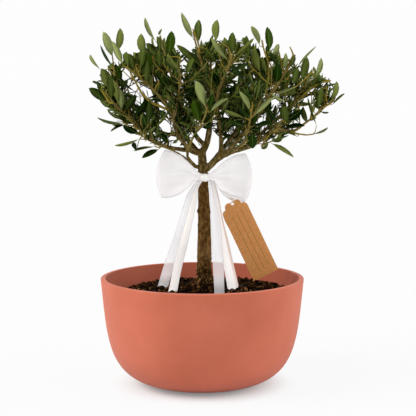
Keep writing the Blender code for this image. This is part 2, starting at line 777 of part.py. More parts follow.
def make_tag(collection, card):
    """A flat card, its head three lobes between two shoulders, with a round hole."""
    across, down, length = tag_axes()
    half = (TAG_FOOT_RIGHT - TAG_FOOT_LEFT).length / 2
    shoulder = TAG_HEAD + 0.0045
    outline = [(-half, -length), (half, -length)]
    lobes = [
        (half - TAG_LOBE, -shoulder, TAG_LOBE, 0, 100),
        (half * 0.42, -0.0005, TAG_LOBE, -15, 110),
        (0, TAG_HEAD - 0.0040, TAG_LOBE, 20, 160),
        (-half * 0.42, -0.0005, TAG_LOBE, 70, 195),
        (-half + TAG_LOBE, -shoulder, TAG_LOBE, 80, 180),
    ]
    for x, y, radius, start, end in lobes:
        for step in range(6):
            turn = math.radians(start + (end - start) * step / 5)
            outline.append((x + radius * math.cos(turn), y + radius * math.sin(turn)))
    curve = bpy.data.curves.new("tag", "CURVE")
    curve.dimensions = "2D"
    curve.fill_mode = "BOTH"
    curve.extrude = TAG_THICKNESS / 2
    edge = curve.splines.new("POLY")
    edge.points.add(len(outline) - 1)
    for item, point in zip(edge.points, outline):
        item.co = (point[0], point[1], 0, 1)
    edge.use_cyclic_u = True
    hole = curve.splines.new("POLY")
    hole.points.add(11)
    for index, item in enumerate(hole.points):
        turn = math.tau * index / 12
        item.co = (TAG_HOLE_RADIUS * math.cos(turn), TAG_HOLE_RADIUS * math.sin(turn), 0, 1)
    hole.use_cyclic_u = True
    tag = add_object("tag", curve, collection)
    frame = Matrix((across, -down, across.cross(-down))).transposed().to_4x4()
    tag.matrix_world = Matrix.Translation(TAG_HOLE) @ frame
    curve.materials.append(card)


def make_thread(collection, cotton):
    """A thread from the knot, down in front of the tag's head, through its hole and back up."""
    across, down, _ = tag_axes()
    out = across.cross(-down)
    near = TAG_THICKNESS / 2 + THREAD_RADIUS + GAP
    high = TAG_HOLE_RADIUS - THREAD_RADIUS - GAP
    knot = KNOT + Vector((KNOT_SIZE[0] / 2 + THREAD_RADIUS + GAP, 0.0005, -0.0046))
    above = TAG_HOLE - down * (TAG_HEAD + 0.004)
    strands = [
        knot,
        knot.lerp(above, 0.5) + Vector((-0.002, 0.0045, -0.002)),
        above + out * near,
        TAG_HOLE - down * (high + 0.001) + out * near,
        TAG_HOLE - down * high + out * near * 0.4,
        TAG_HOLE - down * high - out * near * 0.4,
        TAG_HOLE - down * (high + 0.001) - out * near,
        above - out * near,
        knot.lerp(above, 0.5) + Vector((-0.002, 0.0062, -0.002)),
        knot + Vector((0.0002, 0.0018, 0.0004)),
    ]
    thread = tube("tag_thread", strands, [THREAD_RADIUS] * len(strands), collection, sides=6)
    finish(thread, cotton)


def limb_blocks(lines, ends, cutters):
    """The trunk and boughs, a little thickened, and the bow's loops, as trees to test against."""
    blocks = [tree_of(bpy.data.objects["bow_loop_" + side]) for side in LOOPS]
    for name, line in lines.items():
        if name == "trunk":
            radii = [trunk_radius(point.z) + LIMB_CLEARANCE for point in line]
        else:
            spots = [ends[name] * step / 8 for step in range(9)]
            line = [along(line, t) for t in spots]
            radii = [limb_radius(name, t) + LIMB_CLEARANCE for t in spots]
        block = tube("block", line, radii, cutters)
        blocks.append(tree_of(block))
        bpy.data.meshes.remove(block.data)
    return blocks


def main():
    clear_scene()
    parts = new_collection("olive_bonsai")
    cutters = new_collection("cutters")
    clay = material("terracotta", (0.552, 0.156, 0.095), 0.62)
    earth = material("bark mulch", (0.040, 0.018, 0.008), 0.95)
    bark = material("olive bark", (0.110, 0.074, 0.034), 0.85)
    green = material("olive leaf", (0.070, 0.130, 0.045), 0.45)
    sheer = material("sheer ribbon", (0.890, 0.880, 0.880), 0.55)
    satin = material("satin ribbon", (0.900, 0.880, 0.850), 0.40)
    card = material("kraft card", (0.460, 0.215, 0.075), 0.85)
    cotton = material("cotton thread", (0.880, 0.850, 0.800), 0.80)

    make_pot(parts, clay)
    make_soil(parts, earth)

    lines = {"trunk": trunk_line()}
    for name in LIMBS:
        lines[name] = limb_line(name, lines)
    centres = mass_centres(lines)
    ends = {name: bough_end(name, lines[name], centres) for name in LIMBS}
    make_trunk(parts, bark)
    make_boughs(parts, cutters, bark, lines, ends)

    make_knot(parts, satin)
    make_band(parts, cutters, satin)
    for side in LOOPS:
        make_loop(side, parts, sheer)
    for name in TAILS:
        make_tail(name, parts, satin if name in ("inner_left", "outer_right") else sheer)
    make_tag(parts, card)
    make_thread(parts, cotton)

    blocks = limb_blocks(lines, ends, cutters)
    leaf_mesh = leaf_shape()
    leaves = 0
    for name in LIMBS:
        leaves += make_mass(name, lines, ends, centres, blocks, leaf_mesh, parts, green)
    bpy.data.meshes.remove(leaf_mesh)
    print(f"{leaves} leaves in {len(LIMBS)} masses")


main()
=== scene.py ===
"""A small olive tree in a terracotta bowl, with a bow and a card tag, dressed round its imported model."""

import math
import random

import bpy
from mathutils import Euler, Matrix, Vector, kdtree, noise


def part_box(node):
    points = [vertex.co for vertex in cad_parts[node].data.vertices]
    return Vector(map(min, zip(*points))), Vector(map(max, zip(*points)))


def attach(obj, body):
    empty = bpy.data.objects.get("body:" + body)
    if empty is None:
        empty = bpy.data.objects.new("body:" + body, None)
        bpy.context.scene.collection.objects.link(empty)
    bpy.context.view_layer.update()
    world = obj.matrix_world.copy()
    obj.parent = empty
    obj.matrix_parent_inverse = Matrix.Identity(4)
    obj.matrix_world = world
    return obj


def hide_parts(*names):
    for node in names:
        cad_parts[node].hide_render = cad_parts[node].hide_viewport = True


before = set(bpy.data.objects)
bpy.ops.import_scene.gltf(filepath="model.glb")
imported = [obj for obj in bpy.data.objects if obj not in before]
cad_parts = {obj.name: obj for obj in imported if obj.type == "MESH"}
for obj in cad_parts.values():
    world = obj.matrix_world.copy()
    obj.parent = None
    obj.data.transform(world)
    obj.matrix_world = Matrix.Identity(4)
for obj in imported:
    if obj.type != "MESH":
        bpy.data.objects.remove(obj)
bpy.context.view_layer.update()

bpy.ops.object.select_all(action="DESELECT")


# Studio
# A pale floor that runs out of sight under a white surround, with a broad soft light high on the
# left and a weaker one on the right. The camera stands where the photo's did.

CAMERA_PLACE = Vector((0.0071, -1.5, 0.378))
CAMERA_DOWN = math.radians(6.1)
PHOTO_SIDE = 416
FOCAL_LENGTH = 1229.4  # in pixels of the photo

bpy.ops.object.camera_add(location=CAMERA_PLACE, rotation=(math.pi / 2 - CAMERA_DOWN, 0, 0))
camera = bpy.context.object
camera.data.sensor_width = 36
camera.data.lens = FOCAL_LENGTH / PHOTO_SIDE * camera.data.sensor_width
bpy.context.scene.camera = camera
bpy.context.scene.view_settings.view_transform = "Standard"


def seen_at(across, down, depth):
    """The point that the photo shows at this pixel of its 416 x 416 frame, at this world Y."""
    middle = PHOTO_SIDE / 2
    ahead = Vector((0, math.cos(CAMERA_DOWN), -math.sin(CAMERA_DOWN)))
    below = Vector((0, -math.sin(CAMERA_DOWN), -math.cos(CAMERA_DOWN)))
    sight = ahead * FOCAL_LENGTH + Vector((1, 0, 0)) * (across - middle) + below * (down - middle)
    return CAMERA_PLACE + sight * ((depth - CAMERA_PLACE.y) / sight.y)


def pixel_of(point):
    """Where the photo shows this point: the pixels across and down."""
    away = point - CAMERA_PLACE
    ahead = away.y * math.cos(CAMERA_DOWN) - away.z * math.sin(CAMERA_DOWN)
    below = -away.y * math.sin(CAMERA_DOWN) - away.z * math.cos(CAMERA_DOWN)
    scale = FOCAL_LENGTH / ahead
    return PHOTO_SIDE / 2 + away.x * scale, PHOTO_SIDE / 2 + below * scale


def soft_light(name, place, strength, spread, colour):
    """A far lamp that shines from this direction, with shadows this soft, in degrees."""
    bpy.ops.object.light_add(type="SUN", location=place)
    lamp = bpy.context.object
    lamp.name = name
    lamp.rotation_euler = Vector(place).to_track_quat("Z", "Y").to_euler()
    lamp.data.energy = strength
    lamp.data.angle = math.radians(spread)
    lamp.data.color = colour


soft_light("left_light", (-1.6, -0.50, 1.35), 2.35, 38, (1.0, 0.985, 0.96))
soft_light("right_light", (1.7, -0.25, 0.45), 1.55, 50, (1.0, 0.99, 0.975))


def feed(tree, socket, value):
    """Gives an input its value: another node's output, or a plain one."""
    if isinstance(value, bpy.types.NodeSocket):
        tree.links.new(value, socket)
    else:
        socket.default_value = value


def ranged(tree, value, start, end, first, last, kind="LINEAR"):
    """This output brought from one range to another, and held at its ends."""
    share = tree.nodes.new("ShaderNodeMapRange")
    share.interpolation_type = kind
    names = ("Value", "From Min", "From Max", "To Min", "To Max")
    for name, given in zip(names, (value, start, end, first, last)):
        feed(tree, share.inputs[name], given)
    return share.outputs["Result"]


def coordinate(tree, kind, axis):
    """One axis of a texture coordinate."""
    places = tree.nodes.new("ShaderNodeTexCoord")
    parted = tree.nodes.new("ShaderNodeSeparateXYZ")
    tree.links.new(places.outputs[kind], parted.inputs["Vector"])
    return parted.outputs[axis]


def for_camera(tree, unseen, seen):
    """One value for what the camera sees, and another for the light that falls on the plant."""
    ray_kind = tree.nodes.new("ShaderNodeLightPath")
    return ranged(tree, ray_kind.outputs["Is Camera Ray"], 0, 1, unseen, seen)


def dress(material, **values):
    """Gives the material's shader these inputs."""
    shader = material.node_tree.nodes["Principled BSDF"]
    for name, value in values.items():
        feed(material.node_tree, shader.inputs[name.replace("_", " ")], value)


def finish_of(name, colour, roughness, shine=0.5):
    """A material with its shader's plain values set."""
    made = bpy.data.materials.new(name)
    made.use_nodes = True
    dress(made, Base_Color=(*colour, 1), Roughness=roughness, Specular_IOR_Level=shine)
    return made


# The surround shows white to the camera, and shines on the plant less, least from the front
SURROUND_SHOWN = 0.985
SURROUND_FRONT = 0.52
SURROUND_BACK = 0.84
world = bpy.data.worlds.new("white surround")
world.use_nodes = True
surround = world.node_tree.nodes["Background"]
surround.inputs["Color"].default_value = (1, 1, 1, 1)
backward = coordinate(world.node_tree, "Generated", "Y")
shine = ranged(world.node_tree, backward, -1, 1, SURROUND_FRONT, SURROUND_BACK)
feed(world.node_tree, surround.inputs["Strength"], for_camera(world.node_tree, shine, SURROUND_SHOWN))
bpy.context.scene.world = world

# The paper is exposed to white, so that the camera sees little of the shadows on it: its glow, seen only by
# the camera, is painted light. The pairs are its tone and glow by the pot's foot, where the shadow is soft
# and brown and the paper is painted a little darker, a painted shade, and away from it.
FLOOR_RADIUS = 9
PAPER_TONE = 0.78
PAPER_TONE_SEEN = (0.60, 0.06)
PAPER_GLOW = (0.20, 0.907)
SHADOW_REACH = (0.056, 0.118)
bpy.ops.mesh.primitive_circle_add(vertices=96, radius=FLOOR_RADIUS, fill_type="NGON")
floor = bpy.context.object
floor.name = "floor"
paper = finish_of("white paper", (PAPER_TONE, PAPER_TONE, PAPER_TONE), 0.9, 0)
spot = paper.node_tree.nodes.new("ShaderNodeTexCoord")
away = paper.node_tree.nodes.new("ShaderNodeVectorMath")
away.operation = "LENGTH"
feed(paper.node_tree, away.inputs[0], spot.outputs["Object"])
tone, glow = (
    ranged(paper.node_tree, away.outputs["Value"], *SHADOW_REACH, *seen, "SMOOTHSTEP")
    for seen in (PAPER_TONE_SEEN, PAPER_GLOW)
)
dress(
    paper, Emission_Color=(1, 1, 1, 1), Base_Color=for_camera(paper.node_tree, PAPER_TONE, tone),
    Emission_Strength=for_camera(paper.node_tree, 0, glow),
)
floor.data.materials.append(paper)


# Bowl
# A smooth bowl of fired clay, matt and faintly mottled, with a wall of 6 mm, a flat lip with eased
# edges and a flat underside. It is raised ring by ring from a disc, as on a wheel, then smoothed.

pot_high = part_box("pot")[1]
RIM_RADIUS = pot_high.x
RIM_HEIGHT = pot_high.z + 0.0007
FOOT_RADIUS = 0.0347
BELLY_RADIUS = 0.1183
BELLY_HEIGHT = 0.049
WALL = 0.006
LIP_ROUND = 0.0016
LIP_SQUARE = 0.42
BOWL_ROUND = 144
BOWL_RINGS = 24
LIP_RINGS = 12


def bezier(points, t):
    """A point of the Bezier curve with these control points."""
    points = list(points)
    while len(points) > 1:
        points = [a.lerp(b, t) for a, b in zip(points, points[1:])]
    return points[0]


def bowl_point(t, inset):
    """The (radius, height) a share t of the way up the bowl's outer line, moved into the wall."""
    controls = [
        Vector((FOOT_RADIUS, 0)),
        Vector((BELLY_RADIUS, 0)),
        Vector((BELLY_RADIUS - 0.0017, BELLY_HEIGHT)),
        Vector((RIM_RADIUS, RIM_HEIGHT - LIP_ROUND)),
    ]
    rising = bezier(controls, min(t + 0.001, 1)) - bezier(controls, max(t - 0.001, 0))
    rising.normalize()
    return bezier(controls, t) + Vector((-rising.y, rising.x)) * inset


def bowl_profile():
    """Every ring of the bowl from its foot, over the lip and down the inside."""
    shares = [ring / BOWL_RINGS for ring in range(BOWL_RINGS + 1)]
    outer = [bowl_point(t, 0) for t in shares]
    inner = [bowl_point(t, WALL) for t in shares]
    across = (outer[-1] - inner[-1]) / 2
    middle = (outer[-1] + inner[-1]) / 2
    lip = []
    for ring in range(1, LIP_RINGS):
        turn = math.pi * ring / LIP_RINGS
        out = math.copysign(abs(math.cos(turn)) ** LIP_SQUARE, math.cos(turn))
        lip.append(middle + across * out + Vector((0, LIP_ROUND)) * math.sin(turn) ** LIP_SQUARE)
    return outer + lip + inner[::-1]


def mottled(tree, scale, stretch=(1, 1, 1), detail=3.0, places="Object"):
    """A noise pattern on the piece's own coordinates."""
    coordinates = tree.nodes.new("ShaderNodeTexCoord")
    mapping = tree.nodes.new("ShaderNodeMapping")
    texture = tree.nodes.new("ShaderNodeTexNoise")
    feed(tree, mapping.inputs["Vector"], coordinates.outputs[places])
    feed(tree, mapping.inputs["Scale"], stretch)
    feed(tree, texture.inputs["Vector"], mapping.outputs["Vector"])
    feed(tree, texture.inputs["Scale"], scale)
    feed(tree, texture.inputs["Detail"], detail)
    return texture.outputs["Fac"]


def blended(tree, share, stops):
    """A colour ramp over a 0 to 1 output, from stops of (place, colour)."""
    ramp = tree.nodes.new("ShaderNodeValToRGB")
    elements = ramp.color_ramp.elements
    while len(elements) < len(stops):
        elements.new(0.5)
    for element, (place, colour) in zip(elements, stops):
        element.position = place
        element.color = (*colour, 1)
    feed(tree, ramp.inputs["Fac"], share)
    return ramp.outputs["Color"]


def bumped(material, height, strength, distance):
    """Feeds a height to the shader as bump."""
    bump = material.node_tree.nodes.new("ShaderNodeBump")
    for name, value in (("Height", height), ("Strength", strength), ("Distance", distance)):
        feed(material.node_tree, bump.inputs[name], value)
    dress(material, Normal=bump.outputs["Normal"])


def settle(piece, name, slot, *nodes):
    """Names a finished piece, ties it to the plant, and hides the imported parts that it stands for."""
    piece.name = name
    piece.data.name = name
    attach(piece, "root")
    if nodes:
        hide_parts(*nodes)


def choose(piece):
    """Makes this the one selected and active object."""
    bpy.ops.object.select_all(action="DESELECT")
    piece.select_set(True)
    bpy.context.view_layer.objects.active = piece


def face_outward(piece):
    """Turns all of a piece's faces outward."""
    choose(piece)
    bpy.ops.object.mode_set(mode="EDIT")
    bpy.ops.mesh.select_all(action="SELECT")
    bpy.ops.mesh.normals_make_consistent(inside=False)
    bpy.ops.object.mode_set(mode="OBJECT")


def raise_rings(rings, sides):
    """A closed shape turned from a disc: each further ring is extruded and drawn in or out."""
    bpy.ops.mesh.primitive_circle_add(vertices=sides, radius=rings[0].x, fill_type="NGON")
    made = bpy.context.object
    made.location.z = rings[0].y
    choose(made)
    bpy.ops.object.transform_apply(location=True, rotation=False, scale=False)
    bpy.ops.object.mode_set(mode="EDIT")
    bpy.ops.mesh.select_all(action="SELECT")
    for lower, upper in zip(rings, rings[1:]):
        bpy.ops.mesh.extrude_region_move(TRANSFORM_OT_translate={"value": (0, 0, upper.y - lower.y)})
        wider = upper.x / lower.x
        bpy.ops.transform.resize(value=(wider, wider, 1), center_override=(0, 0, upper.y))
    bpy.ops.object.mode_set(mode="OBJECT")
    face_outward(made)
    return made


terracotta = finish_of("terracotta", (0.54, 0.144, 0.083), 0.66, 0.12)
cloudy = [(0.30, (0.505, 0.130, 0.073)), (0.72, (0.580, 0.158, 0.094))]
clay = blended(terracotta.node_tree, mottled(terracotta.node_tree, 16, detail=4.0), cloudy)
dress(terracotta, Base_Color=clay, Sheen_Weight=0.10)
bumped(terracotta, mottled(terracotta.node_tree, 420, detail=5.0), 0.12, 0.0006)

bowl = raise_rings(bowl_profile(), BOWL_ROUND)
bpy.ops.object.shade_smooth_by_angle(angle=math.radians(50))
bowl.data.materials.append(terracotta)
settle(bowl, "bowl", "terracotta", "pot")


# Mulch
# A low mound of potting bark over the soil, dark brown and damp: chips of 3 to 9 mm, loose and at
# all angles. The bed is raised like the bowl; four carved chips are copied over it and joined. The bed and
# most of the lowest chips are near black, partly damp bark and partly painted shade between the chips.

BED_EDGE_HEIGHT = 0.1080
BED_RISE = 0.0128
BED_FLAT_RADIUS = 0.026
BED_SKIRT = 0.012
BED_RINGS = 30
BED_ROUND = 120
BED_GAP = 0.0006  # between the bed and the bowl's wall
BED_LUMPS = 0.0011
BED_TILT = 0.022  # the bed lies lower on the left
CHIPS = 2300
CHIP_SIZES = (0.0018, 0.0048)  # half lengths
CHIP_FLATNESS = (0.56, 0.40)  # breadth and thickness against length
BIG_CHIPS = 30  # larger ones heaped at the trunk's foot
BIG_CHIP_SIZES = (0.0030, 0.0052)
# Chips that stand out in the photo: from and to in pixels, breadth in mm, tone
SEEN_CHIPS = (
    (187.3, 285.8, 194.2, 279.2, 1.3, "warm"), (196.5, 284.8, 201.0, 278.4, 1.7, "dry"),
    (201.0, 278.6, 203.0, 282.4, 1.4, "warm"), (206.8, 279.0, 209.3, 284.0, 1.6, "warm"),
    (197.0, 286.2, 201.4, 288.4, 1.8, "dry"), (191.4, 285.2, 195.4, 284.4, 1.5, "dry"),
    (208.0, 288.9, 212.6, 288.3, 1.4, "warm"), (180.0, 283.2, 183.0, 284.8, 1.2, "warm"),
    (179.6, 290.4, 184.0, 289.2, 1.2, "warm"), (203.8, 291.0, 207.0, 290.2, 1.2, "warm"),
    (231.0, 291.6, 232.6, 289.6, 1.0, "dry"), (143.0, 285.6, 147.4, 284.4, 1.3, "warm"),
    (151.6, 283.4, 155.6, 285.6, 1.3, "warm"), (141.0, 290.6, 145.4, 289.4, 1.4, "dry"),
    (160.4, 291.6, 164.4, 290.2, 1.2, "warm"), (250.4, 284.6, 254.6, 286.2, 1.3, "warm"),
    (262.4, 285.4, 267.0, 284.2, 1.4, "warm"), (243.6, 282.4, 247.6, 284.2, 1.2, "warm"),
)
STEM_FOOT = Vector((0.0025, 0.009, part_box("trunk")[0].z))
STEM_FOOT_RADIUS = 0.0122
CHIP_LAYERS = (-0.0006, 0.0003, 0.0012)  # how high the chips of each layer lie on the bed
DEEP_SHARES = (70, 25, 5, 0)  # the lowest layer's share of each colour; mostly the darkest, as painted shade under the chips above
BIG_SHARES = (15, 35, 38, 12)
SEEN_LIFT = 0.0022  # how high the chips that stand out lie
CHIP_COLOURS = {
    # The darkest tone is partly damp bark and partly painted shade.
    "damp": (0.0040, 0.0014, 0.0002),
    "brown": (0.0200, 0.0076, 0.0014),
    "warm": (0.0620, 0.0250, 0.0074),
    "dry": (0.1900, 0.0860, 0.0340),
}
CHIP_SHARES = (44, 33, 18, 5)
PATCHY = (-1.4, 0, 1.6, 1.2)  # how much more of each there is where chips lie dry


def smoothly(low, high, value):
    """Eases from 0 to 1 as the value goes from low to high."""
    share = min(max((value - low) / (high - low), 0), 1)
    return share * share * (3 - 2 * share)


def bed_height(radius, x=0.0):
    """The bed's height at this distance from the middle, and this far to the right."""
    fall = max(radius - BED_FLAT_RADIUS, 0) / (BED_EDGE - BED_FLAT_RADIUS)
    return BED_EDGE_HEIGHT + BED_RISE * (1 - fall**2) + BED_TILT * x * min(radius / BED_FLAT_RADIUS, 1)


wall_line = [bowl_point(step / 200, WALL) for step in range(201)]
BED_EDGE = min(wall_line, key=lambda place: abs(place.y - BED_EDGE_HEIGHT)).x - BED_GAP
skirt_foot = min(wall_line, key=lambda place: abs(place.y - BED_EDGE_HEIGHT + BED_SKIRT)).x - BED_GAP
wall_slope = (BED_EDGE - skirt_foot) / BED_SKIRT
bed_rings = [Vector((skirt_foot, BED_EDGE_HEIGHT - BED_SKIRT))]
for ring in range(BED_RINGS):
    radius = BED_EDGE * (1 - ring / BED_RINGS)
    bed_rings.append(Vector((radius, bed_height(radius))))
bed = raise_rings(bed_rings, BED_ROUND)
for vert in bed.data.vertices:
    if vert.co.z > BED_EDGE_HEIGHT - 0.001:
        inward = smoothly(BED_EDGE, BED_EDGE - 0.006, vert.co.xy.length)
        lump = noise.noise(vert.co / 0.0042) + 0.6 * noise.noise(vert.co / 0.0100)
        tilted = bed_height(vert.co.xy.length, vert.co.x) - bed_height(vert.co.xy.length)
        vert.co.z += BED_LUMPS * lump * inward - 0.0008 * inward + tilted
        vert.co.xy *= 1 + wall_slope * tilted / BED_EDGE
bed.data.shade_smooth()

# The bed shows only between the chips: its near black crumbs are partly damp and partly painted shade.
damp_and_shaded_crumbs = finish_of("damp crumbs", (0.012, 0.006, 0.002), 0.9, 0.1)
crumbs = mottled(damp_and_shaded_crumbs.node_tree, 420, detail=6.0)
crumb_browns = [
    (0.40, (0.0030, 0.0010, 0.0002)), (0.58, (0.0120, 0.0050, 0.0012)), (0.72, (0.0400, 0.0180, 0.0050)),
]
dress(damp_and_shaded_crumbs, Base_Color=blended(damp_and_shaded_crumbs.node_tree, crumbs, crumb_browns))
bumped(damp_and_shaded_crumbs, crumbs, 0.8, 0.0012)
bed.data.materials.append(damp_and_shaded_crumbs)
settle(bed, "mulch_bed", "mulch", "soil")


def carved_chip(seed):
    """A chip's points and faces: a rough lump of twenty flats, its long side along X."""
    bpy.ops.mesh.primitive_ico_sphere_add(subdivisions=1, radius=1)
    lump = bpy.context.object
    rng = random.Random(f"{seed} chip")
    bpy.ops.object.mode_set(mode="EDIT")
    bpy.ops.transform.rotate(value=rng.uniform(0, 3), orient_axis="Y", center_override=(0, 0, 0))
    bpy.ops.object.mode_set(mode="OBJECT")
    corners = []
    for vert in lump.data.vertices:
        square = max(abs(vert.co.x), abs(vert.co.y), abs(vert.co.z))
        blocky = vert.co * (0.65 + 0.35 / square)
        flattened = Vector((blocky.x, blocky.y * CHIP_FLATNESS[0], blocky.z * CHIP_FLATNESS[1]))
        corners.append(flattened * rng.uniform(0.72, 1.15))
    faces = [tuple(face.vertices) for face in lump.data.polygons]
    bpy.data.objects.remove(lump)
    return corners, faces


chip_kinds = [carved_chip(seed) for seed in range(4)]
chip_heaps = {tone: ([], []) for tone in CHIP_COLOURS}


def drop_chip(tone, kind, place, size, turned):
    """Adds a copy of one of the carved chips to the heap of this colour."""
    points, faces = chip_heaps[tone]
    corners, flats = chip_kinds[kind]
    first = len(points)
    points.extend(place + turned @ (corner * size) for corner in corners)
    faces.extend(tuple(first + corner for corner in flat) for flat in flats)


rng = random.Random("mulch")
chip_tones = list(CHIP_COLOURS)
for number in range(CHIPS):
    reach = (BED_EDGE - 0.0030) * math.sqrt(rng.random())
    turn = rng.uniform(0, math.tau)
    size = rng.uniform(*CHIP_SIZES) * (1.15 if rng.random() < 0.15 else 1.0)
    place = Vector((reach * math.cos(turn), reach * math.sin(turn), 0))
    if (place.xy - STEM_FOOT.xy).length < STEM_FOOT_RADIUS + size * 0.3:
        continue
    layer = number % len(CHIP_LAYERS)
    patch = noise.noise(place / 0.018)
    shares = [share * (1 + way * patch) for share, way in zip(CHIP_SHARES, PATCHY)]
    shares = [max(share, 0) for share in shares] if layer else DEEP_SHARES
    place.z = bed_height(reach, place.x) + CHIP_LAYERS[layer] + 0.0011 * patch
    tilt = Euler((rng.gauss(0, 0.6), rng.gauss(0, 0.6), rng.uniform(0, math.tau))).to_matrix()
    drop_chip(rng.choices(chip_tones, shares)[0], rng.randrange(4), place, size, tilt)
for number in range(BIG_CHIPS):
    turn = math.tau * (number * 0.618 + rng.uniform(-0.03, 0.03))
    size = rng.uniform(*BIG_CHIP_SIZES)
    away = STEM_FOOT_RADIUS + size * rng.uniform(0.0, 1.5)
    place = STEM_FOOT + Vector((away * math.cos(turn), away * math.sin(turn), 0.0))
    place.z = bed_height(place.xy.length, place.x) + rng.uniform(0.0008, 0.0026)
    leaned = Euler((0, -rng.uniform(0.2, 0.9), turn + math.pi + rng.uniform(-0.5, 0.5))).to_matrix()
    drop_chip(rng.choices(chip_tones, BIG_SHARES)[0], rng.randrange(4), place, size, leaned)


def on_bed(across, down, lift):
    """The point just above the bed that the photo shows at this pixel."""
    for step in range(480):
        spot = seen_at(across, down, -0.12 + 0.0005 * step)
        if spot.z <= bed_height(spot.xy.length, spot.x) + lift:
            break
    return spot


for left, top, right, bottom, breadth, tone in SEEN_CHIPS:
    start = on_bed(left, top, SEEN_LIFT)
    end = on_bed(right, bottom, SEEN_LIFT)
    if (end - start).length > 0.012:
        nearer = min(start.y, end.y)
        start = seen_at(left, top, nearer)
        end = seen_at(right, bottom, nearer + 0.0015)
    length = (end - start).length / 2
    turned = (end - start).to_track_quat("X", "Z").to_matrix()
    thin = breadth * 0.001 / (length * CHIP_FLATNESS[0])
    turned = turned @ Matrix.Diagonal((1, thin, thin))
    drop_chip(tone, rng.randrange(4), start.lerp(end, 0.5), length, turned)


def gathered(name, points, faces, *finishes):
    """One object made of all these points and faces."""
    mesh = bpy.data.meshes.new(name)
    mesh.from_pydata(points, [], faces)
    for finish in finishes:
        mesh.materials.append(finish)
    made = bpy.data.objects.new(name, mesh)
    bpy.context.scene.collection.objects.link(made)
    return made


for tone, colour in CHIP_COLOURS.items():
    chips = gathered("mulch_" + tone, *chip_heaps[tone], finish_of(f"bark chip {tone}", colour, 0.8, 0.03))
    face_outward(chips)
    settle(chips, "mulch_" + tone, "mulch")


# Trunk and boughs
# One olive stem, scaly at its foot and smooth above, that forks into twenty limbs. They are drawn
# as tubes, grown together into one skin, and the bark's plates, streaks and scars are raised on it.

SEED = 7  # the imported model's own, so that each limb takes its line
noise.seed_set(SEED)  # unseeded, noise_vector differs from run to run
TRUNK_FOOT = Vector((0.0020, 0.009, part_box("trunk")[0].z))
TRUNK_TOP = Vector((-0.0005, 0.0005, 0.288))
TRUNK_BOW = 0.0022
TRUNK_FOOT_WIDTH = 0.0206
TRUNK_TOP_WIDTH = 0.0100
FLARE = 0.0036
FLARE_HEIGHT = 0.005
BURR_HEIGHT = 0.212
BURR_SWELL = 0.0014
BURR_SPREAD = 0.003
TRUNK_RINGS = 17
TRUNK_SUNK = 0.004
TRUNK_SIDES = 28
BOUGH_SIDES = 14
BOUGH_STEPS = 16

# Each limb: the one it leaves, how far along, the direction, reach and height of its tip, the
# slopes at which it sets out and arrives, its sweep, and its thickness at its foot and its tip.
LIMBS = {
    "left": ("trunk", 0.985, 207, 0.098, 0.388, 20, 40, 0.000, 0.0080, 0.0046),
    "centre": ("trunk", 0.985, 138, 0.015, 0.432, 112, 72, 0.000, 0.0076, 0.0040),
    "right": ("trunk", 0.850, 338, 0.102, 0.326, 52, 42, 0.004, 0.0086, 0.0044),
    "left_low": ("left", 0.100, 194, 0.118, 0.359, -4, 52, -0.006, 0.0056, 0.0036),
    "left_under": ("trunk", 0.875, 208, 0.098, 0.316, 36, 24, 0.010, 0.0040, 0.0026),
    "left_far": ("left_low", 0.500, 174, 0.112, 0.416, 46, 78, 0.004, 0.0042, 0.0028),
    "left_up": ("left", 0.420, 250, 0.070, 0.400, 74, 76, -0.006, 0.0046, 0.0030),
    "front_left": ("trunk", 0.890, 272, 0.080, 0.348, 48, 62, -0.020, 0.0042, 0.0026),
    "upper_left": ("centre", 0.060, 150, 0.060, 0.428, 46, 74, 0.000, 0.0054, 0.0036),
    "right_centre": ("right", 0.230, 310, 0.054, 0.404, 86, 74, 0.003, 0.0066, 0.0042),
    "right_upper": ("right", 0.300, 350, 0.112, 0.404, 46, 64, -0.005, 0.0062, 0.0040),
    "front_right": ("right", 0.400, 308, 0.092, 0.342, 22, 66, 0.004, 0.0042, 0.0026),
    "right_mid": ("right", 0.500, 14, 0.140, 0.372, 24, 46, 0.006, 0.0048, 0.0032),
    "right_low": ("right", 0.880, 1, 0.152, 0.346, -2, 46, -0.007, 0.0050, 0.0030),
    "back_left": ("trunk", 0.960, 128, 0.108, 0.398, 34, 56, 0.005, 0.0066, 0.0040),
    "back": ("centre", 0.100, 88, 0.104, 0.376, 36, 48, -0.004, 0.0060, 0.0038),
    "back_right": ("right", 0.120, 48, 0.118, 0.394, 42, 56, -0.006, 0.0064, 0.0040),
    "back_left_low": ("back_left", 0.240, 153, 0.118, 0.346, 2, 46, -0.005, 0.0046, 0.0030),
    "back_right_low": ("back_right", 0.260, 66, 0.116, 0.336, 6, 40, -0.006, 0.0046, 0.0030),
    "back_high": ("centre", 0.260, 78, 0.050, 0.426, 44, 74, 0.000, 0.0050, 0.0034),
}
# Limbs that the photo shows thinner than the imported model, by how much
SLIM_LIMBS = {
    "left": 0.62, "left_up": 0.50, "left_low": 0.86, "left_far": 0.80, "front_left": 0.92, "centre": 0.80,
    "upper_left": 0.80, "left_under": 0.62, "right": 0.92, "right_centre": 0.76, "right_upper": 0.94,
    "front_right": 0.86, "right_low": 0.84,
}
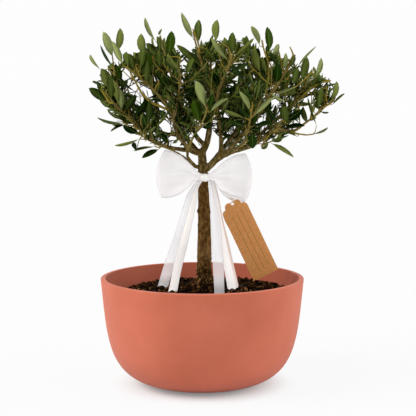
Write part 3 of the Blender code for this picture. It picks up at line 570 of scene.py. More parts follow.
# Limbs whose bare part the photo shows: how far along it ends, and its places in pixels
SEEN_LIMBS = {
    "left": (
        0.70, (194.5, 152.8), (187, 147), (180.3, 139.5), (176, 132), (174, 121), (171, 112),
        (166, 104), (160.5, 97), (154, 90.5),
    ),
    "left_up": (0.65, (175, 113), (176.3, 106.8), (177.4, 98.4), (179.1, 90.7), (180.5, 81)),
    "left_under": (
        0.55, (196.5, 168.3), (191.3, 163.2), (185.3, 157.6), (178.2, 152.9), (172, 150), (165, 147.6),
        (156, 144.5),
    ),
    "front_left": (
        0.95, (196, 166.5), (190.8, 161.5), (187.3, 156.5), (187.2, 151.8), (189.3, 145.4),
        (192.8, 137.7), (198.4, 129.3), (202.6, 121.6), (206.1, 113.2), (207.4, 106),
    ),
    "centre": (
        0.36, (204.6, 148.5), (206.5, 144.5), (208.5, 139), (209.8, 132), (210.4, 125), (210.2, 117),
        (208.8, 110),
    ),
    "upper_left": (0.25, (200.8, 143), (196.5, 135.5), (191.8, 128.5), (189.5, 119)),
    "right": (
        0.95, (207, 168.3), (210.8, 165), (217.4, 158.8), (223.7, 155), (230, 152.3), (237, 150),
        (244.5, 148.3), (251, 146), (258, 142), (263.5, 138), (270, 132.6), (277, 127),
    ),
    "right_centre": (
        0.64, (221.3, 151), (221.2, 145), (220.9, 139), (220.2, 129.3), (219.5, 120), (217.4, 110),
        (216.7, 102.5), (218, 93),
    ),
    "right_low": (
        0.95, (279, 129.8), (286, 130.6), (292, 131.6), (297, 130), (302.3, 125.2), (310.4, 119.2),
        (318.4, 111.8), (323.8, 105.8),
    ),
}
CROOK = 0.0024  # how far a limb strays to the side and back, and how often
CROOK_WAVES = 1.6
LIMB_POINTS = 13
SHORTEST_BOUGH = 0.30
FORK_MARGIN = 0.06
BARE_INTO_MASS = 0.004
COLLAR = 0.22
COLLAR_FALL = 14
MASS_CENTRE = 0.70

SKIN_CELL = 0.00061
PLATE_SIZE = 0.0028
PLATE_SQUASH = 0.7
PLATE_WARP = 0.0012  # how far the plates' edges wander, in waves of this size
PLATE_WARP_SIZE = 0.0035
PLATE_RISE = 0.0003  # all plates, and the highest against the lowest
PLATE_LIFT = 0.00085
CRACK_DEPTH = 0.0011
RIDGE_RISE = 0.00022  # ridges, swells, wrinkles and dark streaks: rise, and breadth and height
RIDGES = (0.0026, 0.014)
SWELL_RISE = 0.00030
SWELL_SIZE = 0.0085
WRINKLE_RISE = 0.00012
WRINKLES = (0.006, 0.0016)
STREAKS = (0.0020, 0.020)
STREAK_DARKNESS = 0.28
YOUNG_LOW = 0.254  # the bark turns from brown to olive behind the bow, and is olive beyond the fork
YOUNG_HIGH = 0.268
YOUNG_TO = 0.060
PLATE_TOP = 0.168  # the foot's scales die out between these heights
PLATE_BOTTOM = 0.138
PAINTED_LIGHT_FROM = 0.180  # and between these the stem is painted paler: painted light on the low stem, where it lies in shade
PAINTED_LIGHT_TO = 0.128
PAINTED_LIGHT_PALENESS = 0.22
KNOBS_BELOW = 0.25
# Knobs and pruning scars on the trunk: height, direction, size, and how far each stands out
KNOBS = (
    (0.2135, 198, 0.0026, 0.0019),
    (0.2175, 212, 0.0013, -0.0007),
    (0.2095, 214, 0.0013, -0.0007),
    (0.2120, 340, 0.0020, 0.0009),
    (0.2085, 262, 0.0016, 0.0005),
    (0.2360, 248, 0.0019, -0.0007),
    (0.2310, 286, 0.0014, 0.0006),
    (0.1870, 300, 0.0022, 0.0006),
    (0.1730, 235, 0.0020, 0.0006),
    (0.1960, 180, 0.0018, 0.0005),
    (0.2010, 95, 0.0022, 0.0008),
    (0.1600, 20, 0.0022, 0.0007),
)


def along(points, t):
    """The point a fraction t of the way along evenly spaced points."""
    place = min(max(t, 0.0), 1.0) * (len(points) - 1)
    first = min(int(place), len(points) - 2)
    return points[first].lerp(points[first + 1], place - first)


def leaning(direction, side, degrees):
    """A direction leaned towards another by an angle."""
    return direction * math.cos(math.radians(degrees)) + side * math.sin(math.radians(degrees))


def heading(azimuth):
    """A level direction, by its angle from X."""
    return leaning(Vector((1, 0, 0)), Vector((0, 1, 0)), azimuth)


def up_trunk(height):
    """The share of the trunk that lies below this height."""
    return (height - TRUNK_FOOT.z) / (TRUNK_TOP.z - TRUNK_FOOT.z)


def trunk_line():
    """The trunk's centre line, bowed a little to the right."""
    lean = TRUNK_TOP - TRUNK_FOOT
    aside = Vector((TRUNK_BOW, 0, 0))
    controls = [TRUNK_FOOT, TRUNK_FOOT + lean / 3 + aside, TRUNK_TOP - lean / 3 + aside, TRUNK_TOP]
    line = [bezier(controls, ring / (TRUNK_RINGS - 1)) for ring in range(TRUNK_RINGS)]
    line[0].xy = line[1].xy
    return line


def trunk_radius(height):
    """The trunk's radius, with its flare at the foot and its burr."""
    width = TRUNK_FOOT_WIDTH + (TRUNK_TOP_WIDTH - TRUNK_FOOT_WIDTH) * up_trunk(height)
    width += FLARE * math.exp(-(height - TRUNK_FOOT.z) / FLARE_HEIGHT)
    width += BURR_SWELL * math.exp(-(((height - BURR_HEIGHT) / BURR_SPREAD) ** 2))
    return width / 2


def part_way(places, share):
    """The place this share of the length along a line of places."""
    lengths = [(after - place).length for place, after in zip(places, places[1:])]
    left = share * sum(lengths)
    for place, after, length in zip(places, places[1:], lengths):
        if left <= length:
            return place.lerp(after, left / length)
        left -= length
    return places[-1]


def drawn_as_seen(name, line):
    """Moves a limb's line to where the photo shows it, easing back to its own tip."""
    if name not in SEEN_LIMBS:
        return line
    bare, *places = SEEN_LIMBS[name]
    own = [Vector(pixel_of(point)) for point in line]
    seen = [own[0]] + [Vector(place) for place in places]
    moved = [line[0]]
    for index in range(1, len(line)):
        t = index / (len(line) - 1)
        reached = min(t, bare)
        offset = (part_way(seen, reached / bare) - along(own, reached)) * (1 - smoothly(bare, 1, t))
        spot = own[index] + offset
        moved.append(seen_at(spot.x, spot.y, line[index].y))
    return moved


def limb_line(name, lines):
    """The centre line of a limb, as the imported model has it, or as the photo shows it."""
    parent, where, azimuth, reach, height, leaving, arriving, sweep, _, _ = LIMBS[name]
    rng = random.Random(f"{SEED} {name} line")
    start = along(lines[parent], where)
    tip = heading(azimuth) * reach + Vector((0, 0, height))
    out = Vector((tip.x - start.x, tip.y - start.y, 0)).normalized()
    side = Vector((-out.y, out.x, 0))
    stride = (tip - start).length / 3
    rise = Vector((0, 0, 1))
    first = start + leaning(out, rise, leaving) * stride
    second = tip - leaning(out, rise, arriving) * stride
    aside = side * sweep / 0.75
    phase = rng.uniform(0, math.tau)
    twist = rng.uniform(0, math.tau)
    bent = side * math.cos(twist) + rise * math.sin(twist)
    line = []
    for step in range(LIMB_POINTS):
        t = step / (LIMB_POINTS - 1)
        crook = CROOK * math.sin(math.tau * CROOK_WAVES * t + phase) * math.sin(math.pi * t)
        line.append(bezier([start, first + aside, second + aside, tip], t) + bent * crook)
    return drawn_as_seen(name, line)


def limb_radius(name, t):
    """A limb's radius along it, with the collar at its foot."""
    thick, thin = LIMBS[name][8:]
    slim = 1 + (SLIM_LIMBS.get(name, 1) - 1) * smoothly(0.02, 0.25, t)
    return slim * (thick + (thin - thick) * t) / 2 * (1 + COLLAR * math.exp(-t * COLLAR_FALL))


limb_lines = {"trunk": trunk_line()}
for limb in LIMBS:
    limb_lines[limb] = limb_line(limb, limb_lines)
mass_centres = {limb: along(limb_lines[limb], MASS_CENTRE) for limb in LIMBS}


def inside_own_space(name, point, margin=0.0):
    """True where the point is nearer to this mass's centre than to any other."""
    own = mass_centres[name]
    for other, centre in mass_centres.items():
        if other == name:
            continue
        lead = (point - centre).length_squared - (point - own).length_squared
        if lead / (2 * (centre - own).length) < margin:
            return False
    return True


def bough_end(name):
    """How far along its line a bough runs before its foliage starts."""
    forks = [row[1] + FORK_MARGIN for row in LIMBS.values() if row[0] == name]
    t = max([SHORTEST_BOUGH] + forks)
    while t < 0.9 and not inside_own_space(name, along(limb_lines[name], t), BARE_INTO_MASS):
        t += 0.01
    return t


bough_ends = {limb: bough_end(limb) for limb in LIMBS}


class Strands:
    """Many closed tubes gathered into the arrays of one mesh."""

    def __init__(self):
        self.points = []
        self.faces = []

    def add(self, line, radii, sides):
        """A tube along a line, with its own radius at each point and a flat cap at each end."""
        first = len(self.points)
        side = None
        for index, point in enumerate(line):
            ahead = (line[min(index + 1, len(line) - 1)] - line[max(index - 1, 0)]).normalized()
            if side is None:
                side = ahead.orthogonal().normalized()
            side = (side - ahead * side.dot(ahead)).normalized()
            other = ahead.cross(side)
            for corner in range(sides):
                turn = math.tau * corner / sides
                self.points.append(point + (side * math.cos(turn) + other * math.sin(turn)) * radii[index])
        for ring in range(len(line) - 1):
            for corner in range(sides):
                near = first + ring * sides
                after = (corner + 1) % sides
                far = near + sides
                self.faces.append((near + corner, near + after, far + after, far + corner))
        last = first + (len(line) - 1) * sides
        self.faces.append(tuple(range(first + sides - 1, first - 1, -1)))
        self.faces.append(tuple(range(last, last + sides)))

    def piece(self, name, *finishes):
        """One smooth object made of all the tubes."""
        made = gathered(name, self.points, self.faces, *finishes)
        made.data.shade_smooth()
        return made


def grained(point, across, along_stem):
    """Noise with cells of this breadth and this height."""
    return noise.noise(Vector((point.x / across, point.y / across, point.z / along_stem)))


def bark_relief(point, knobs):
    """How far the bark stands out at a point, and how pale (0) or dark (1) it is there."""
    scales = smoothly(PLATE_TOP, PLATE_BOTTOM, point.z)
    crack = 0
    pale = 0
    height = RIDGE_RISE * grained(point, *RIDGES) + SWELL_RISE * noise.noise(point / SWELL_SIZE)
    if scales > 0:
        warped = point + noise.noise_vector(point / PLATE_WARP_SIZE) * PLATE_WARP
        warped.z *= PLATE_SQUASH
        apart, centres = noise.voronoi(warped / PLATE_SIZE)
        # Cracks between the plates are dark: partly the bark's own dark, partly painted shade in them.
        crack = scales * (1 - smoothly(0.04, 0.46, apart[1] - apart[0]))
        lifted = noise.cell(centres[0] * 7.3) - 0.5
        # The raised plates are the palest: partly the plates' own paler bark, partly painted highlight.
        pale = scales * smoothly(-0.25, 0.4, lifted) * smoothly(0.12, 0.4, apart[1] - apart[0])
        height += scales * (PLATE_LIFT * lifted + PLATE_RISE) - CRACK_DEPTH * crack
    wrinkle = grained(point, *WRINKLES)
    height += WRINKLE_RISE * wrinkle * (1 - scales)
    for centre, size, swell in knobs:
        height += swell * math.exp(-(point - centre).length_squared / (size * size))
    streak = grained(point, *STREAKS)
    # Crack dark is strongest low on the stem; the streaks are darker in the wrinkles' grooves, a painted
    # shade.
    crack *= 0.30 + 0.60 * smoothly(0.160, 0.130, point.z)
    dark = max(crack, STREAK_DARKNESS * smoothly(0.15, 0.6, -streak - 0.6 * wrinkle))
    # Painted light: the low stem is painted paler between these heights.
    painted_light = smoothly(PAINTED_LIGHT_FROM, PAINTED_LIGHT_FROM - 0.020, point.z) * smoothly(PAINTED_LIGHT_TO - 0.006, PAINTED_LIGHT_TO, point.z)
    pale = max(pale, PAINTED_LIGHT_PALENESS * painted_light)
    return height, 0.5 + 0.5 * dark - 0.5 * pale * (1 - dark)


wood = Strands()
trunk = limb_lines["trunk"]
sunk = [trunk[0] - Vector((0, 0, TRUNK_SUNK))]
wood.add(sunk + trunk, [trunk_radius(TRUNK_FOOT.z)] + [trunk_radius(p.z) for p in trunk], TRUNK_SIDES)
for limb in LIMBS:
    spots = [bough_ends[limb] * step / BOUGH_STEPS for step in range(BOUGH_STEPS + 1)]
    bough = [along(limb_lines[limb], t) for t in spots]
    wood.add(bough, [limb_radius(limb, t) for t in spots], BOUGH_SIDES)
skin = wood.piece("trunk_and_boughs")

choose(skin)
grown = skin.modifiers.new("grown together", "REMESH")
grown.mode = "VOXEL"
grown.voxel_size = SKIN_CELL
bpy.ops.object.modifier_apply(modifier=grown.name)
eased = skin.modifiers.new("eased", "SMOOTH")
eased.factor = 0.5
eased.iterations = 5
bpy.ops.object.modifier_apply(modifier=eased.name)

knobs = []
for height, azimuth, size, swell in KNOBS:
    knobs.append((along(trunk, up_trunk(height)) + heading(azimuth) * trunk_radius(height), size, swell))
bark_darkness = skin.data.attributes.new("crack", "FLOAT", "POINT")
youth = skin.data.attributes.new("young_bark", "FLOAT", "POINT")
moved = []
for index, vert in enumerate(skin.data.vertices):
    height, dark = bark_relief(vert.co, knobs if vert.co.z < KNOBS_BELOW else ())
    bark_darkness.data[index].value = dark
    above_bow = smoothly(YOUNG_LOW, YOUNG_HIGH, vert.co.z)
    youth.data[index].value = above_bow * (0.5 + 0.5 * smoothly(0, YOUNG_TO, (vert.co - TRUNK_TOP).length))
    moved.extend(vert.co + vert.normal * height)
skin.data.vertices.foreach_set("co", moved)
skin.data.update()
skin.data.shade_smooth()


def mixed(tree, share, start, end):
    """The colour a share of the way from one to another."""
    mix = tree.nodes.new("ShaderNodeMix")
    mix.data_type = "RGBA"
    for name, value in (("Factor", share), ("A", start), ("B", end)):
        feed(tree, mix.inputs[name], value)
    return mix.outputs["Result"]


def stored(tree, name):
    """A value that the mesh holds at each of its points."""
    value = tree.nodes.new("ShaderNodeAttribute")
    value.attribute_name = name
    return value.outputs["Fac"]


# Brown below the bow and olive above it, patched where it is smooth, pale or dark in its relief.
# The pale parts carry painted highlight and painted light, the dark cracks and grooves painted shade.
OLD_BARK = [
    (0.32, (0.062, 0.028, 0.005)), (0.52, (0.122, 0.061, 0.014)), (0.70, (0.240, 0.138, 0.050)),
]
YOUNG_BARK = [
    (0.32, (0.058, 0.044, 0.010)), (0.50, (0.160, 0.125, 0.038)), (0.70, (0.400, 0.310, 0.140)),
]
# Pale for the raised plates, partly painted highlight, and for the low stem's painted light; near black for
# the cracks and grooves, partly painted shade.
PALE_BARK_AND_PAINTED_LIGHT = (0.42, 0.25, 0.12, 1)
CRACK_DARK_AND_PAINTED_SHADE = (0.011, 0.006, 0.002, 1)
bark = finish_of("olive bark", (0.10, 0.055, 0.015), 0.85, 0.04)
bark_tree = bark.node_tree
patches = mottled(bark_tree, 330, (1, 1, 0.6), 6.0)
browns = blended(bark_tree, patches, OLD_BARK)
olives = blended(bark_tree, patches, YOUNG_BARK)
colour = mixed(bark_tree, stored(bark_tree, "young_bark"), browns, olives)
# The stored "crack" value runs from pale (0) to dark (1): crack dark and painted shade, pale plates and
# painted light.
for full, tone in ((0, PALE_BARK_AND_PAINTED_LIGHT), (1, CRACK_DARK_AND_PAINTED_SHADE)):
    colour = mixed(bark_tree, ranged(bark_tree, stored(bark_tree, "crack"), 0.5, full, 0, 1), colour, tone)
dress(bark, Base_Color=colour)
bumped(bark, mottled(bark_tree, 900, (1, 1, 0.4), 4.0), 0.35, 0.0005)
skin.data.materials.append(bark)
settle(skin, "trunk_and_boughs", "bark", "trunk", *["bough_" + limb for limb in LIMBS])


# Leaves that stand out
# Stiff elliptic olive leaves, dark and glossy above and pale grey-green below. Those that stand out
# of the crown in the photo come first: each is placed from it and hangs by a twig from a limb.

LEAF_LENGTH = 0.027
LEAF_WIDTH = 0.0100
LEAF_THICKNESS = 0.00030
LEAF_SEEN = 9.2  # a leaf's full breadth in the photo, pixels
LEAF_ARCH = (-0.20, 0.40)
LEAF_FOLD = (0.10, 0.40)
LEAF_TWIST = (-0.35, 0.35)
RIB_WIDTH = 0.00050
# Places along a leaf, and how much of its breadth it has there
LEAF_STATIONS = ((0.06, 0.12), (0.18, 0.50), (0.34, 0.88), (0.53, 1.0), (0.73, 0.88), (0.90, 0.50))
TONES = {
    # name: (upper side, underside, roughness of the upper side)
    # The near black tone is painted shade.
    "deep": ((0.0026, 0.0130, 0.0001), (0.018, 0.027, 0.002), 0.60),
    "dark": ((0.0110, 0.0380, 0.0004), (0.085, 0.122, 0.018), 0.46),
    "blue": ((0.0340, 0.0620, 0.0080), (0.120, 0.160, 0.045), 0.46),
    "olive": ((0.0760, 0.1100, 0.0160), (0.150, 0.186, 0.032), 0.48),
    "bright": ((0.0270, 0.0620, 0.0002), (0.150, 0.195, 0.030), 0.46),
    "grey": ((0.1650, 0.2020, 0.0420), (0.255, 0.300, 0.105), 0.52),
}
RIB_COLOUR = (0.230, 0.265, 0.070)
CROWN_MIDDLE = Vector((0.010, 0.005, 0.352))
SHOOT_RADIUS = 0.00052
LINK_STEPS = 8
CARRIER_STEPS = 60
STANDING_STEPS = 12
CARRIERS_TRIED = 40
TOUCHING = 0.0015  # a leaf this near its carrier needs no twig, and beyond the other it bears more
BEARING = 0.012
NEARER_FIRST = 160  # pixels for each metre that a carrier lies back
PIXEL_SIZE = 0.00122  # what a pixel of the photo spans at the crown
STALK_SHARE = 0.05
STALK_RADII = (0.00045, 0.00032)

# Twigs that stand out: the limb each leaves, its thickness and the pixels it runs through
STANDING_TWIGS = (
    ("left", 1.8, (140.8, 79), (137.8, 71.8), (134.9, 63.8), (130.4, 58.6)),
    ("left", 2.4, (162, 114), (149.9, 101.7), (141.3, 92.5), (136.7, 84.4), (130.9, 73)),
    ("left", 1.6, (168, 78), (164, 72.5), (157.9, 68), (152.5, 60)),
    ("left_low", 2.4, (112, 104), (109.7, 102.8), (103.4, 92.5), (101.5, 90.5)),
    ("left_low", 1.5, (146, 129), (134, 126.5), (127.5, 125), (123.5, 122.5)),
    ("left_low", 1.6, (167, 143.5), (163, 146), (159.6, 147.6), (155, 146.6)),
    ("left_low", 1.5, (156, 137), (150.5, 138.4), (145, 139.4), (140.2, 139)),
    ("centre", 1.8, (200, 55), (199, 46), (196, 37), (192.5, 28.9)),
    ("right_centre", 1.4, (231.5, 57), (229.5, 50), (227.5, 46.7)),
    ("right_centre", 1.3, (230.5, 63), (236, 54.5), (241.5, 46.5)),
    ("right_centre", 1.5, (228, 72), (221.7, 64.5), (219.4, 55.4)),
    ("right_upper", 2.2, (263, 101), (266.5, 88), (268.8, 78), (268.2, 61.7), (263.6, 49), (261.9, 39.8)),
    ("right_upper", 1.5, (268, 82), (264.2, 80), (259.6, 74.9), (249.3, 65.1)),
    ("right_upper", 1.5, (284.5, 78), (283.6, 73.6), (281.8, 64.6), (278.7, 50.4)),
    ("right_upper", 1.7, (294.5, 57.5), (293, 54), (291.5, 50), (289.8, 46.8)),
    ("right_upper", 1.4, (276, 96), (283.6, 91.4), (297, 86), (305, 79), (314.8, 69)),
    ("right_mid", 2.4, (283, 110.5), (293.4, 104.8), (305, 94), (313, 87), (321, 82.5), (330.9, 80.7)),
    ("right_low", 1.6, (325, 101), (325.7, 96), (327, 91), (326.4, 86)),
    ("right_low", 1.8, (322, 108), (329, 104.5), (333.6, 101), (335.5, 97)),
    ("right_low", 1.8, (284, 131), (291, 132.6), (299, 134), (307, 135), (313, 134.2)),
    ("right_low", 1.6, (258, 143.5), (261, 146.5), (266, 143), (270.5, 142)),
    ("front_right", 1.8, (251.5, 111), (252, 106), (252.4, 102)),
)

# Leaves that stand out: tip and root in pixels, the breadth they show, and their tone. Those
# marked under show their underside.
STANDING_LEAVES = (
    (103, 32.5, 113, 58, 8.6, "grey under"), (120.5, 29, 118, 52, 7.4, "grey"),
    (112, 42, 123, 65, 7, "grey under"), (90.2, 55.5, 100.5, 70.1, 2, "grey under"),
    (101.6, 68.7, 107.6, 88.5, 8, "grey"), (92.5, 81, 101.5, 86, 2, "bright"),
    (90, 88, 105.5, 101.5, 8.5, "blue"), (119.4, 89, 121.4, 111, 8, "grey under"),
    (110.3, 76.4, 111.5, 99.5, 8.5, "olive"), (107.5, 110.5, 122.3, 120.6, 3.4, "olive"),
    (97, 120.3, 124, 123.2, 3, "olive"), (112.5, 124.8, 124.5, 123.8, 1.8, "olive"),
    (110.3, 130, 125, 124.8, 2.2, "dark"), (123.5, 126, 139, 134, 7, "deep"),
    (101, 45.5, 112.5, 67, 3, "dark"), (130, 53.4, 134.4, 69.8, 5.5, "olive"),
    (126.3, 52.3, 127.8, 65, 6, "olive"), (113.7, 80, 118, 103, 6.5, "grey"),
    (120.6, 79, 115, 62.5, 8, "bright"), (142.5, 19.5, 156, 42, 4, "grey under"),
    (140, 34.5, 144.5, 56.5, 8, "grey"), (148, 43, 156.5, 57.5, 6, "olive"),
    (172, 32, 168.5, 55, 9, "bright"), (161, 29.5, 160, 34.5, 3, "olive"),
    (176.5, 46.5, 199.5, 65.5, 7, "olive"), (148.5, 53, 147, 74, 9, "bright"),
    (163, 37.5, 165, 53, 6, "grey"), (181.5, 13.5, 193.5, 39.5, 6.5, "grey under"),
    (197.6, 19.8, 199, 43, 8, "olive"), (216.6, 20.6, 216, 42, 7, "grey"),
    (212, 34.7, 206.6, 48, 3, "blue"), (225.5, 38.1, 221.7, 52, 5.5, "grey"),
    (232.6, 33, 233, 53.6, 7.8, "olive"), (246.7, 36.1, 249.5, 57, 7, "olive"),
    (251.3, 26.9, 260, 46, 5.5, "grey under"), (268.8, 26.9, 269.5, 52, 8, "bright"),
    (252.2, 37.6, 234, 58, 4, "grey"), (279, 44.5, 271, 56.5, 5, "grey under"),
    (254.5, 49, 260, 73, 7.5, "grey"), (286.5, 53.5, 282.5, 70.5, 5.5, "grey under"),
    (278, 64.5, 276.5, 85, 9, "dark"), (316.5, 47, 297, 67, 2.2, "grey"),
    (306.5, 57.5, 301.5, 81, 8, "olive"), (322, 58.5, 315, 78, 5.5, "grey under"),
    (338.5, 83, 323, 88.5, 2.2, "blue"), (338.5, 82.5, 330.5, 102.5, 5, "grey"),
    (345, 94.5, 331.5, 105, 1.8, "olive"), (320.5, 87, 318.5, 108.5, 7, "olive"),
    (328, 129.5, 313, 134.4, 2.2, "olive"), (286.5, 131.5, 297, 136.4, 2.6, "olive"),
    (304.5, 126.5, 283, 128, 5.5, "deep"),
    (283, 107.5, 286, 123, 8, "olive"), (305.5, 122, 303, 105, 6, "olive"),
    (240, 92, 250, 111, 5, "grey under"), (273, 98, 253, 117, 6, "grey under"),
    (225.5, 110, 244.5, 118, 4, "grey"), (301.5, 111, 286, 120.5, 7.5, "deep"),
    (272, 123, 253, 126.5, 4, "dark"), (197, 81, 205.5, 108, 9, "grey under"),
    (194, 100.5, 199.5, 123, 9, "bright"), (227, 96.5, 210, 112, 5, "grey under"),
    (214, 94, 208.5, 111, 4.5, "dark"), (293.5, 156.8, 271, 142.9, 5, "grey"),
    (142.2, 156.5, 159.4, 148.9, 5.5, "dark"), (115.3, 145.2, 140, 139.2, 2.6, "olive under"),
    (252.4, 148.5, 252.2, 132, 9.2, "dark"), (134, 142.5, 135.4, 150.4, 4, "deep"),
    (134.5, 151.2, 154.6, 146.4, 2.5, "olive"), (282.2, 138, 269.8, 141.4, 4, "olive"),
    (261.7, 148.4, 269, 142, 4, "olive"), (213.1, 37.6, 228.3, 61.7, 4.6, "grey under"),
    (238.7, 41.9, 235, 55, 5, "olive"), (243.3, 37.6, 244.9, 46, 2.5, "olive"),
    (261.3, 57.6, 266.6, 73, 6, "grey"), (201.6, 39.8, 204.4, 51.5, 4, "grey"),
    (205.1, 49, 218.5, 64.5, 4, "olive"), (187, 50, 201.6, 67.4, 6, "olive"),
    (158.5, 37, 159.6, 51, 4, "olive"), (151.5, 37, 155, 49, 2, "grey"),
    (158, 52, 160, 68, 7, "olive"), (167.5, 55, 181, 73, 5, "grey"),
    (193.6, 59, 186, 75, 5.5, "olive"), (161.9, 73, 176, 82.5, 3.2, "blue"),
    (135.5, 95.5, 125, 111, 6.5, "blue"), (148.1, 100.5, 132, 119.5, 6, "dark"),
    (150, 101.7, 148, 124.5, 7.5, "blue"), (142.4, 49, 140, 70, 7, "olive"),
    (147, 60, 145.3, 83, 8, "olive"), (137.2, 58.6, 138.6, 64, 2, "dark"),
    (121.7, 81, 134.4, 91.3, 2, "dark"), (125.2, 94.2, 139.5, 97.1, 2, "dark"),
    (156.8, 93.6, 147.6, 98.4, 1.8, "dark"), (161.4, 101.7, 148.5, 99.2, 1.8, "dark"),
    (127.5, 78.7, 124, 93.6, 1.6, "dark"), (179.3, 123.2, 194.5, 127, 2.6, "olive"),
    (156, 131.5, 169, 135, 3, "olive"), (160.5, 134, 167.5, 143, 5, "dark"),
    (195, 87, 183, 97.5, 4, "dark"), (203.4, 127.5, 216, 125, 3.4, "dark"),
    (271.5, 52, 277.5, 67, 5, "blue"), (294.5, 55.5, 290.5, 68, 3.8, "olive"),
    (296, 67.5, 293.5, 85, 6.5, "olive"), (319, 74, 310.5, 89.5, 7, "olive"),
    (328.7, 112.4, 320, 111.6, 2, "dark"), (267.5, 109, 278, 123.4, 4.5, "dark"),
    (230, 120.5, 245, 126.5, 5, "dark"), (259, 114, 250.5, 127, 5, "dark"),
    (248.5, 64.5, 231, 73, 4, "blue"), (234.5, 85, 220.5, 93, 4, "dark"),
    (214.5, 72, 219, 87, 6, "deep"), (240, 106, 247.5, 119, 6, "dark"),
    (296, 87.5, 275.5, 96, 2.8, "grey under"), (308.6, 97.7, 316.5, 126, 2.4, "olive"),
    (309, 89, 296, 95.5, 3, "blue"), (270, 95, 286, 101, 4, "grey under"),
    (230, 66, 243, 80, 4.5, "dark"), (171, 85, 181, 99, 5, "olive"),
    (165, 84, 156, 72, 4, "dark"), (186, 113, 177, 127, 5, "deep"),
)


def leaf_pattern():
    """One leaf's rows of points (station, side, rib, below), its faces, and their kinds."""
    rows = [(0, 0, 0, 0)]
    for station in range(len(LEAF_STATIONS)):
        rows += [(station, -1, 0, 0), (station, -1, 1, 0), (station, 1, 1, 0), (station, 1, 0, 0)]
        rows += [(station, 1, 1, 1), (station, -1, 1, 1)]
    rows.append((0, 0, 0, 0))
    faces = []
    kinds = []
    ring_kinds = (0, 2, 0, 1, 3, 1)  # upper, rib, upper, underside, rib below, underside
    count = len(LEAF_STATIONS)
    for station in range(count - 1):
        near = 1 + station * 6
        for corner in range(6):
            after = (corner + 1) % 6
            faces.append((near + corner, near + after, near + 6 + after, near + 6 + corner))
            kinds.append(ring_kinds[corner])
    tip = 1 + count * 6
    for corner in range(6):
        after = (corner + 1) % 6
        faces.append((0, 1 + after, 1 + corner))
        kinds.append(ring_kinds[corner])
        faces.append((tip - 6 + corner, tip - 6 + after, tip))
        kinds.append(ring_kinds[corner])
    return rows, faces, kinds


LEAF_ROWS, LEAF_FACES, LEAF_KINDS = leaf_pattern()


def leaf_points(root, ahead, face, length, width, arch, fold, twist):
    """One leaf's points: it sets out ahead, bends by the arch, and folds up about its rib."""
    across = face.cross(ahead).normalized()
    up = ahead.cross(across).normalized()

    def spine(share):
        bent = (share - 0.15) * abs(share - 0.15)
        reach = share - 0.12 * arch * arch * share * share
        return root + ahead * length * reach - up * length * arch * bent * 0.5

    points = [root]
    for station, side, rib, below in LEAF_ROWS[1:-1]:
        share, wide = LEAF_STATIONS[station]
        out = RIB_WIDTH * (1.1 - 0.7 * share) / 2 if rib else width / 2 * wide
        lift = fold * out + twist * side * out * (share - 0.3)
        if rib:
            lift += -LEAF_THICKNESS * 1.2 if below else LEAF_THICKNESS * 0.15
        points.append(spine(share) + across * side * out + up * lift)
    points.append(spine(1.0))
    return points


class Foliage:
    """The leaves of one tone, gathered into the arrays of one mesh."""

    def __init__(self):
        self.points = []
        self.faces = []
        self.kinds = []

    def add(self, points):
        """Adds one leaf."""
        first = len(self.points)
        self.points += points
        self.faces += [tuple(first + corner for corner in face) for face in LEAF_FACES]
        self.kinds += LEAF_KINDS


foliage = {tone: Foliage() for tone in TONES}
petioles = Strands()
old_wood = Strands()
inner_wood_in_shade = Strands()
young_wood = Strands()
cut_wood = Strands()
bearers = []  # (mass, line) of each stem, twig and shoot that can carry leaves


def hang_leaf(tone, root, ahead, face, length, width, rng):
    """Adds a leaf, with the short stalk that joins it to its twig."""
    stalk = length * STALK_SHARE
    foot = root - ahead * 0.0004
    petioles.add([foot, foot + ahead * (stalk + 0.0006)], STALK_RADII, 4)
    points = leaf_points(
        foot + ahead * stalk, ahead, face, length - stalk, width,
        rng.uniform(*LEAF_ARCH), rng.uniform(*LEAF_FOLD), rng.uniform(*LEAF_TWIST),
    )
    foliage[tone].add(points)


def taper(first, last, count, swell=0.14):
    """Radii from thick to thin, with a collar at the foot and swellings where buds sit."""
    radii = [
        (first + (last - first) * step / (count - 1)) * (1 + (swell if step % 2 else -swell / 2))
        for step in range(count)
    ]
    radii[0] *= 1.7
    return radii


def wrapped(tree_points):
    """A tree of the places that these points take in the photo."""
    tree = kdtree.KDTree(len(tree_points))
    for index, place in enumerate(tree_points):
        tree.insert((*pixel_of(place), 0), index)
    tree.balance()
    return tree


def course(line, t, before, after):
    """The direction of a line about a place on it."""
    return (along(line, t + after) - along(line, t - before)).normalized()


carriers = []  # (limb, place, direction) where a standing leaf's twig can start
for limb in LIMBS:
    for step in range(CARRIER_STEPS + 1):
        t = bough_ends[limb] - 0.2 + (1.2 - bough_ends[limb]) * step / CARRIER_STEPS
        carriers.append((limb, along(limb_lines[limb], t), course(limb_lines[limb], t, 0.03, 0.03)))

shown_twigs = []
for limb, thickness, *pixels in STANDING_TWIGS:
    stem = [along(limb_lines[limb], step / CARRIER_STEPS) for step in range(CARRIER_STEPS + 1)]
    foot = stem[wrapped(stem).find((*pixels[0], 0))[1]]
    line = [foot]
    for step, (across, down) in enumerate(pixels[1:]):
        line.append(seen_at(across, down, foot.y - 0.0012 * step))
    line = [along(line, step / STANDING_STEPS) for step in range(STANDING_STEPS + 1)]
    radii = []
    for step in range(STANDING_STEPS + 1):
        budded = 1.16 if step % 3 == 2 else 1
        radii.append(thickness * PIXEL_SIZE / 2 * (1.15 - 0.5 * step / STANDING_STEPS) * budded)
    young_wood.add(line, radii, 6)
    shown_twigs.append(line)
    for place, after in zip(line, line[1:]):
        carriers.append((limb, after, (after - place).normalized()))
carrier_tree = wrapped([place for _, place, _ in carriers])

